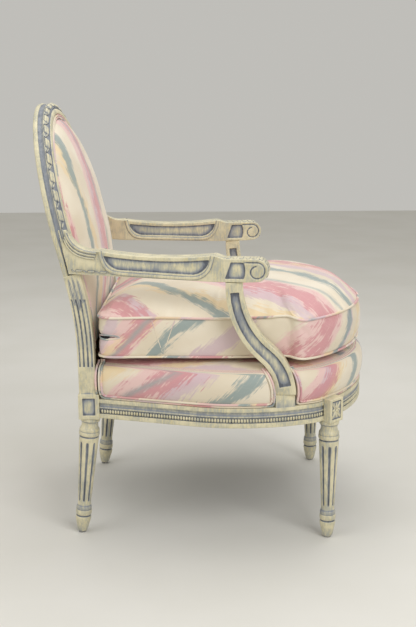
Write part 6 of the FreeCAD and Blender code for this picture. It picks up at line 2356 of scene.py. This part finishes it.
@dataclass
class LooseCushion(Maker):
    """Boxed T cushion with piped seams and a zipper in its rear boxing."""

    setback: float = 10.0
    side_x: float = 262.0
    rear_y: float = 222.0
    rear_corner: float = 24.0
    ear_radius: float = 18.0
    ear_y: float = -210.0
    fold_tip: float = 84.0
    fold_heads: tuple[float, float] = (107.0, 58.0)
    fold_radius: float = 0.9
    low_z: float = 419.0
    high_z: float = 504.0
    piping_radius: float = 3.0
    zipper_length: float = 400.0
    zipper_y: float = 222.4
    base: tuple[tuple[float, float], ...] = (
        (0.02, 409.2), (0.2, 409.2), (0.4, 409.3), (0.6, 409.6), (0.75, 410.4), (0.87, 412.2), (0.95, 415.0),
        (0.985, 417.4),
    )
    top: tuple[tuple[float, float], ...] = (
        (0.993, 508.0), (0.975, 513.5), (0.95, 519.5), (0.915, 526.0), (0.87, 532.4), (0.81, 538.0),
        (0.73, 542.6), (0.64, 545.8), (0.53, 548.0), (0.42, 549.4), (0.3, 550.2), (0.18, 550.6),
        (0.02, 550.8),
    )
    boxing_rows: int = 11
    boxing_bow: float = 1.2
    boxing_rise: float = 8.5
    base_hold: float = 414.0
    swell: tuple[float, float, float, float] = (10.0, 7.0, 2.2, 0.8)
    beside: tuple[float, float] = (225.0, -225.0)
    rear_from: float = 205.0
    pressure: float = 3.0
    growth: float = 0.035
    frames: int = 18
    crease_x: float = 200.0
    crease_y: tuple[float, float] = (165.0, 185.0)
    crease_depth: float = 8.5
    crease_half: float = 6.0
    upright_depth: float = 1.1
    upright_half: float = 4.0
    step: float = 8.0
    filling: float = 0.8
    tape_cloth: float = 0.7
    tape_half: float = 13.0
    stitch_rise: float = 10.5
    tooth_pitch: float = 2.2
    stitch_pitch: float = 4.2
    placket_from: tuple[float, float] = (236.0, 172.0)
    placket_wide: float = 11.0
    placket_deep: float = 2.4
    lip_deep: float = 1.4
    lip_gape: float = 4.8
    fold_shift: float = 0.268

    @property
    def mid_z(self) -> float:
        """Height of the boxing's middle."""
        return (self.low_z + self.high_z) / 2

    def outline(self, step: float) -> tuple[Array, Array]:
        """Closed plan of the cushion, from the middle of its rear round its left side.

        Args:
            step: distance between points.

        Returns:
            Points and outward directions.
        """
        side_centre = PLAN.side_centre
        side = PLAN.side_radius - self.setback - self.ear_radius
        ear_x = side_centre[0] + math.sqrt(side ** 2 - (self.ear_y - PLAN.widest_y) ** 2)
        ear = np.array([ear_x, self.ear_y])
        nook_x = self.side_x + self.ear_radius
        nook = np.array([nook_x, self.ear_y + math.sqrt((2 * self.ear_radius) ** 2 - (nook_x - ear[0]) ** 2)])
        across = math.atan2(ear[1] - nook[1], ear[0] - nook[0])
        leave = math.atan2(ear[1] - side_centre[1], ear[0] - side_centre[0])
        corner = np.array([self.side_x - self.rear_corner, self.rear_y - self.rear_corner])
        arcs = [(corner, self.rear_corner, math.pi / 2, 0.0, 1),
                (nook, self.ear_radius, math.pi, across + 2 * math.pi, -1),
                (ear, self.ear_radius, across + math.pi, leave, 1)]
        arcs += [arc + (1,) for arc in PLAN.front_arcs(self.setback, leave)]
        line = [np.array([0.0, self.rear_y, 0.0, 1.0])]
        for centre, radius, first, last, sign in arcs:
            count = max(3, int(abs(last - first) * radius / step))
            for angle in np.linspace(first, last, count):
                way = np.array([math.cos(angle), math.sin(angle)])
                line.append(np.concatenate([centre + way * radius, way * sign]))
        half = np.array(line)
        keep = np.concatenate([[True], np.linalg.norm(np.diff(half[:, :2], axis=0), axis=1) > 1e-6])
        half = densify(half[keep], np.zeros(keep.sum()), step)[0]
        whole = np.vstack([half, half[-2:0:-1] * np.array([-1, 1, -1, 1])])
        return whole[:, :2], unit(whole[:, 2:])

    def seam_height(self, points: Array, z: float) -> Array:
        """Height of a seam along the outline: it dips and lifts a little at the ears and corners.

        Args:
            points: the outline.
            z: level height of the seam.

        Returns:
            A height for each point.
        """
        x, y = points[:, 0], points[:, 1]
        lift = 1.3 * np.sin(y / 43.0 + np.sign(x))
        for rise, place, spread_y in ((3.2, -178, 26), (-3.4, -216, 22), (2.0, 214, 20)):
            lift += rise * np.exp(-(((y - place) / spread_y) ** 2))
        return z + lift * (1.0 if z > self.mid_z else 0.45) * np.clip(np.abs(x) / 120.0, 0, 1)

    @staticmethod
    def face(points: Array, profile: Sequence[tuple[float, float]], lift: Array, power: int) -> Array:
        """Rows of the cushion's base or top.

        Args:
            points: outline of the cushion.
            profile: share of the outline and height of each row.
            lift: how far the seam lies from its level height.
            power: how fast that fades away from the seam.

        Returns:
            Points of shape (rows, columns, 3).
        """
        middle = np.array([0.0, PLAN.widest_y])
        return np.array([at_height(middle + (points - middle) * share, z + lift * share ** power)
                         for share, z in profile])

    def cover(self) -> tuple[Piece, Array, Array]:
        """Makes and fills the cushion's cover.

        Returns:
            The piece, and the lines of its upper and lower seams.
        """
        points, ways = self.outline(self.step)
        low, high = self.seam_height(points, self.low_z), self.seam_height(points, self.high_z)
        base = self.face(points, self.base + ((1.0, self.low_z),), low - self.low_z, 6)
        top = self.face(points, ((1.0, self.high_z),) + self.top, high - self.high_z, 8)
        boxing = []
        for up in np.linspace(0, 1, self.boxing_rows):
            bow = self.boxing_bow * math.sin(math.pi * up)
            boxing.append(at_height(points + ways * bow, low + (high - low) * up))
        run = arc_length(np.vstack([points, points[:1]])) * MM
        rise = np.arange(self.boxing_rows)[:, None] * self.boxing_rise * MM
        base_cloth = looped(base[..., :2]) * MM + np.array([0.5, 0.2])
        side_cloth = np.stack([0.62 * run + 0.78 * rise + 0.4, 0.78 * rise - 0.5 * run + 0.1], axis=-1)
        turn = np.array([[0.88, 0.47], [-0.47, 0.88]])
        top_cloth = looped(top[..., :2]) @ turn * MM + np.array([0.17, 0.63])
        draft = Draft()
        first = draft.grid(base, 0.0, base_cloth, wrap=True)
        draft.grid(np.array(boxing), 0.0, side_cloth, wrap=True)
        last = draft.grid(top, 0.0, top_cloth, wrap=True)
        draft.cap(first[0], base_cloth[0, :-1])
        draft.cap(last[-1][::-1], top_cloth[-1, -2::-1])
        piece = draft.make("seat_cushion_cover", self.finish.cover, 60)
        self.fill(piece, base[-1], top[0])
        places = coordinates(piece.data) / MM
        upper = places[self.find(places, top[0])]
        lower = places[self.find(places, base[-1])]
        self.crease(piece)
        smooth_cover(piece)
        return piece, upper, lower

    @staticmethod
    def find(places: Array, ring: Array) -> Array:
        """Vertices nearest to the points of a ring."""
        return np.array([int(np.argmin(((places - p) ** 2).sum(1))) for p in ring])

    def fill(self, piece: Piece, *seams: Array) -> None:
        """Simulates the filling, with the seams held.

        Args:
            piece: the cover.
            seams: points of its lower and upper seams.
        """
        places = coordinates(piece.data) / MM
        pinned = places[:, 2] < self.base_hold
        for seam in seams:
            pinned[self.find(places, seam)] = True
        top, boxing, beside, rear = self.swell
        limit = np.full(len(places), top)
        on_boxing = (places[:, 2] > self.low_z - 2) & (places[:, 2] < self.high_z + 2)
        by_arms = (np.abs(places[:, 0]) > self.beside[0]) & (places[:, 1] > self.beside[1])
        limit[on_boxing] = boxing
        limit[on_boxing & by_arms] = beside
        limit[on_boxing & (places[:, 1] > self.rear_from)] = rear
        inflate(piece, pinned, self.pressure, self.growth, self.frames, limit * MM)

    def crease(self, piece: Piece) -> None:
        """Draws in the zipper placket at the rear corners and the upright seams of the boxing.

        Args:
            piece: the filled cover.
        """
        places = coordinates(piece.data) / MM
        x, y, z = places.T
        aside = np.abs(x) > self.crease_x
        rear = smoothstep(y, *self.crease_y) * aside
        depth = self.crease_depth * rear * np.exp(-((z - self.mid_z) / self.crease_half) ** 2)
        boxing = (z > self.low_z) & (z < self.high_z) & aside
        depth += self.upright_depth * boxing * np.exp(-((y - self.crease_y[0]) / self.upright_half) ** 2)
        move(piece.data, (places - directions(piece.data) * depth[:, None]) * MM)

    def piping(self, name: str, seam: Array, shift: float) -> Piece:
        """Covered cord sewn into a seam.

        Args:
            name: name of the piece.
            seam: points of the seam.
            shift: where its covering was cut from the cloth.

        Returns:
            The cord.
        """
        _, ways = self.outline(self.step)
        line = seam + at_height(ways * 2.0, 0.0)
        loop = even(np.vstack([line, line[:1]]), 4.0)[:-1]
        draft = Draft()
        cord(draft, loop, self.piping_radius - 0.4, True, shift)
        return draft.make(name, self.finish.cover, 70)

    def plackets(self) -> None:
        """Makes the gap at each end of the zipper: a dark sheet of painted shade, in the dust cloth's finish,
        between two folded lips.
        """
        points, ways = self.outline(self.step / 2)
        keep = np.all(points > np.array(self.placket_from), axis=1)
        line, out = points[keep], ways[keep]
        run = arc_length(line)
        gape = np.sin(np.pi * np.clip(0.04 + 0.96 * run / run[-1], 0, 1)) ** 0.7
        tape, lips = Draft(), Draft()
        wide = self.placket_wide
        for side in Side:
            flip = np.array([side.value, 1.0, 1.0])
            v = np.linspace(-1, 1, 5)[:, None]
            deep = line - out * self.placket_deep
            height = self.mid_z + wide / 2 * v * gape
            rows = np.stack([deep[:, 0] + 0 * v, deep[:, 1] + 0 * v, height], axis=-1) * flip
            # The dark sheet sunk in the gap is painted shade: it stands in for the shadow between the lips.
            tape.grid(rows, 0.0, rows[..., 1:] * MM)
            for way, radius in ((1.0, 1.7), (-1.0, 1.9)):
                lip = at_height(line - out * self.lip_deep, self.mid_z + way * self.lip_gape * gape) * flip
                cord(lips, lip, radius, shift=0.19 + 0.31 * way)
        # The dark dust cloth finish on this sheet paints the gap's shade.
        gap = thicken(tape.make("placket_tape", self.finish.cambric, 60, solid=False), self.tape_cloth)
        settle(gap, Body.CUSHION, Slot.TAPE)
        settle(lips.make("placket_lips", self.finish.cover, 70), Body.CUSHION, Slot.PRINT)

    def folds(self, cushion: Piece) -> None:
        """Makes the two sewn folds that meet in a point on each side of the boxing.

        Args:
            cushion: the filled cover, which they lie on.
        """
        filled = cushion.evaluated_get(bpy.context.evaluated_depsgraph_get())
        draft = Draft()
        tip = np.array([self.fold_tip, self.low_z + 7.0])
        for side in Side:
            way = (-side.value, 0.0, 0.0)
            for head in self.fold_heads:
                path = []
                for y, z in np.linspace(tip, np.array([head, self.high_z - 5.0]), 16):
                    hit, place, _, _ = filled.ray_cast((side.value * 0.5, y * MM, z * MM), way)
                    if hit:
                        path.append(np.array(place) / MM)
                cord(draft, np.array(path), self.fold_radius, shift=self.fold_shift)
        settle(draft.make("boxing_folds", self.finish.cover, 70), Body.CUSHION, Slot.PRINT)

    def rear_line(self, count: int, out: float, rise: float) -> tuple[Array, Array]:
        """Level line along the zipper.

        Args:
            count: number of its points.
            out: distance behind the zipper's seat.
            rise: height above the boxing's middle.

        Returns:
            Points and outward directions.
        """
        half = self.zipper_length / 2 - 2
        across = np.linspace(-half, half, count)
        behind = np.full(count, self.zipper_y + out)
        line = np.column_stack([across, behind, np.full(count, self.mid_z + rise)])
        return line, np.tile([0.0, 1.0, 0.0], (count, 1))

    def stitches(self) -> Piece:
        """Two rows of stitches that hold the zipper tape.

        Returns:
            The stitches.
        """
        u = np.linspace(-1, 1, 5)[:, None]
        v = full_turn(6)[None, :]
        full = 0.32 * np.sqrt(1 - 0.98 * u ** 4)
        rise = full * np.sin(v) + 0.25 * (1 - u ** 2)
        thread = np.stack([1.5 * u + 0 * v, full * np.cos(v), rise], axis=-1)
        shape = Draft()
        ends = shape.grid(thread, 0.0, wrap=True)
        shape.cap(ends[0])
        shape.cap(ends[-1])
        runs = [self.rear_line(60, 0.7, rise) for rise in (-self.stitch_rise, self.stitch_rise)]
        thread = shape.make("stitch", None, 180)
        return PathRepeat("zipper_stitches", self.stitch_pitch, thread, self.finish.tape).along(runs)

    def zipper(self) -> None:
        """Tape, teeth and slider in the rear boxing."""
        half = self.zipper_length / 2
        x, v = np.broadcast_arrays(np.linspace(-half, half, 81)[None, :], np.linspace(-1, 1, 9)[:, None])
        behind = self.zipper_y + 0.5 - 0.25 * np.abs(v)
        rows = np.stack([x, behind, self.mid_z + self.tape_half * v], axis=-1)
        cloth = np.stack([x, self.tape_half * v], axis=-1) * MM
        draft = Draft()
        draft.grid(rows[:, ::-1], 0.0, cloth[:, ::-1])
        tape = thicken(draft.make("zipper_tape", self.finish.tape, 60, solid=False), self.tape_cloth)
        settle(tape, Body.CUSHION, Slot.TAPE, "cushion_zipper")
        tooth = Draft()
        corners = np.array([(-0.75, -2.2, 0), (0.75, -2.2, 0), (0.55, 2.2, 0), (-0.55, 2.2, 0)])
        ring = np.stack([corners, corners + (0, 0, 1.1), corners * (0.7, 0.85, 1) + (0, 0, 1.5)])
        rings = tooth.grid(ring, 0.0, wrap=True)
        tooth.cap(rings[0][::-1])
        tooth.cap(rings[-1])
        teeth = PathRepeat("zipper_teeth", self.tooth_pitch, tooth.make("tooth", None, 30), self.finish.brass)
        settle(teeth.along([self.rear_line(100, 0.6, 0.0)]), Body.CUSHION, Slot.ZIP)
        settle(self.stitches(), Body.CUSHION, Slot.TAPE)
        bm = bmesh.new()
        bm.from_mesh(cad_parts["zipper_slider"].data)
        bmesh.ops.remove_doubles(bm, verts=bm.verts, dist=1e-6)
        bmesh.ops.dissolve_limit(bm, angle_limit=0.02, verts=bm.verts, edges=bm.edges)
        mesh = bpy.data.meshes.new("zipper_pull")
        bm.to_mesh(mesh)
        bm.free()
        slider = placed("zipper_pull", mesh, self.finish.brass)
        ease = slider.modifiers.new("eased", "BEVEL")
        ease.width = 0.0004
        ease.segments = 2
        settle(slider, Body.SLIDER, Slot.ZIP, "zipper_slider")

    def build(self) -> None:
        """Makes the cushion, its pipings and its zipper."""
        cushion, upper, lower = self.cover()
        settle(cushion, Body.CUSHION, Slot.PRINT, "seat_cushion")
        settle(self.piping("piping_top", upper, 0.23), Body.CUSHION, Slot.WELT, "cushion_piping_top")
        settle(self.piping("piping_bottom", lower, 0.71), Body.CUSHION, Slot.WELT, "cushion_piping_bottom")
        self.zipper()
        self.plackets()
        self.folds(cushion)


# Studio


@dataclass
class Studio:
    """Pale floor, soft light and the camera."""

    focal: float = 1030.0
    frame_height: float = 627.0
    camera_place: tuple[float, float, float] = (-2.3946, -0.0541, 0.9785)
    yaw: float = 0.0193
    pitch: float = 0.2146
    roll: float = -0.0081
    floor_half: float = 6.0
    sky: float = 0.58
    aim_z: float = 0.45
    lamps: tuple[tuple[str, tuple[float, float, float], float, float], ...] = (
        ("key", (-2.4, -1.5, 2.6), 1.8, 52.0), ("fill", (-1.4, 2.4, 2.2), 2.4, 22.0),
        ("top", (0.6, -0.2, 3.0), 2.2, 30.0),
    )

    def floor(self) -> None:
        """Pale floor with a faint mottle."""
        s = Shader("studio_floor")
        cloud = s.noise(s.place(), 3, 3, 0.5)
        s.set(Base_Color=s.mix(s.rise(cloud, 0.3, 0.7), srgb("d9d7d0"), srgb("dddbd5")), Roughness=0.85)
        h = self.floor_half
        mesh = bpy.data.meshes.new("floor")
        mesh.from_pydata([(-h, -h, 0), (h, -h, 0), (h, h, 0), (-h, h, 0)], [], [(0, 1, 2, 3)])
        placed("floor", mesh, s.material)

    def light(self) -> None:
        """Even sky and two broad lamps."""
        world = bpy.data.worlds.new("studio")
        bpy.context.scene.world = world
        world.use_nodes = True
        sky = world.node_tree.nodes["Background"]
        sky.inputs["Color"].default_value = srgb("f4f2ec")
        sky.inputs["Strength"].default_value = self.sky
        for name, place, size, power in self.lamps:
            lamp = bpy.data.lights.new(name, "AREA")
            lamp.size = size
            lamp.energy = power
            holder = bpy.data.objects.new(name, lamp)
            holder.location = place
            aim = Vector((0, 0, self.aim_z)) - Vector(place)
            holder.rotation_euler = aim.to_track_quat("-Z", "Y").to_euler()
            bpy.context.scene.collection.objects.link(holder)

    def camera(self) -> None:
        """Camera at the photograph's place."""
        cos_p = math.cos(self.pitch)
        ahead = Vector((math.cos(self.yaw) * cos_p, math.sin(self.yaw) * cos_p, -math.sin(self.pitch)))
        right = ahead.cross(Vector((0, 0, 1))).normalized()
        up = right.cross(ahead)
        c, s = math.cos(self.roll), math.sin(self.roll)
        x, y = c * right + s * up, c * up - s * right
        turn = Matrix((x, y, -ahead)).transposed().to_4x4()
        lens = bpy.data.cameras.new("view")
        lens.sensor_width = 36.0
        lens.lens = self.focal / self.frame_height * 36.0
        holder = bpy.data.objects.new("view", lens)
        holder.matrix_world = Matrix.Translation(Vector(self.camera_place)) @ turn
        bpy.context.scene.collection.objects.link(holder)
        bpy.context.scene.camera = holder

    def build(self) -> None:
        """Sets the stage."""
        bpy.context.scene.view_settings.view_transform = "Standard"
        self.floor()
        self.light()
        self.camera()


def main() -> None:
    """Builds the chair piece by piece."""
    logging.basicConfig(level=logging.INFO, format="%(message)s")
    finish = Finishes()
    leg = TurnedLeg(finish)
    chair = [LegBlocks(finish, leg), SeatRails(finish, leg), BackFrame(finish, leg)]
    for kind in (ScrollArms, InnerTimber, SeatDeck, BackCovers, Underside, LooseCushion):
        chair.append(kind(finish))
    for assembly in chair:
        assembly.build()
    Studio().build()


if __name__ == "__main__":
    main()
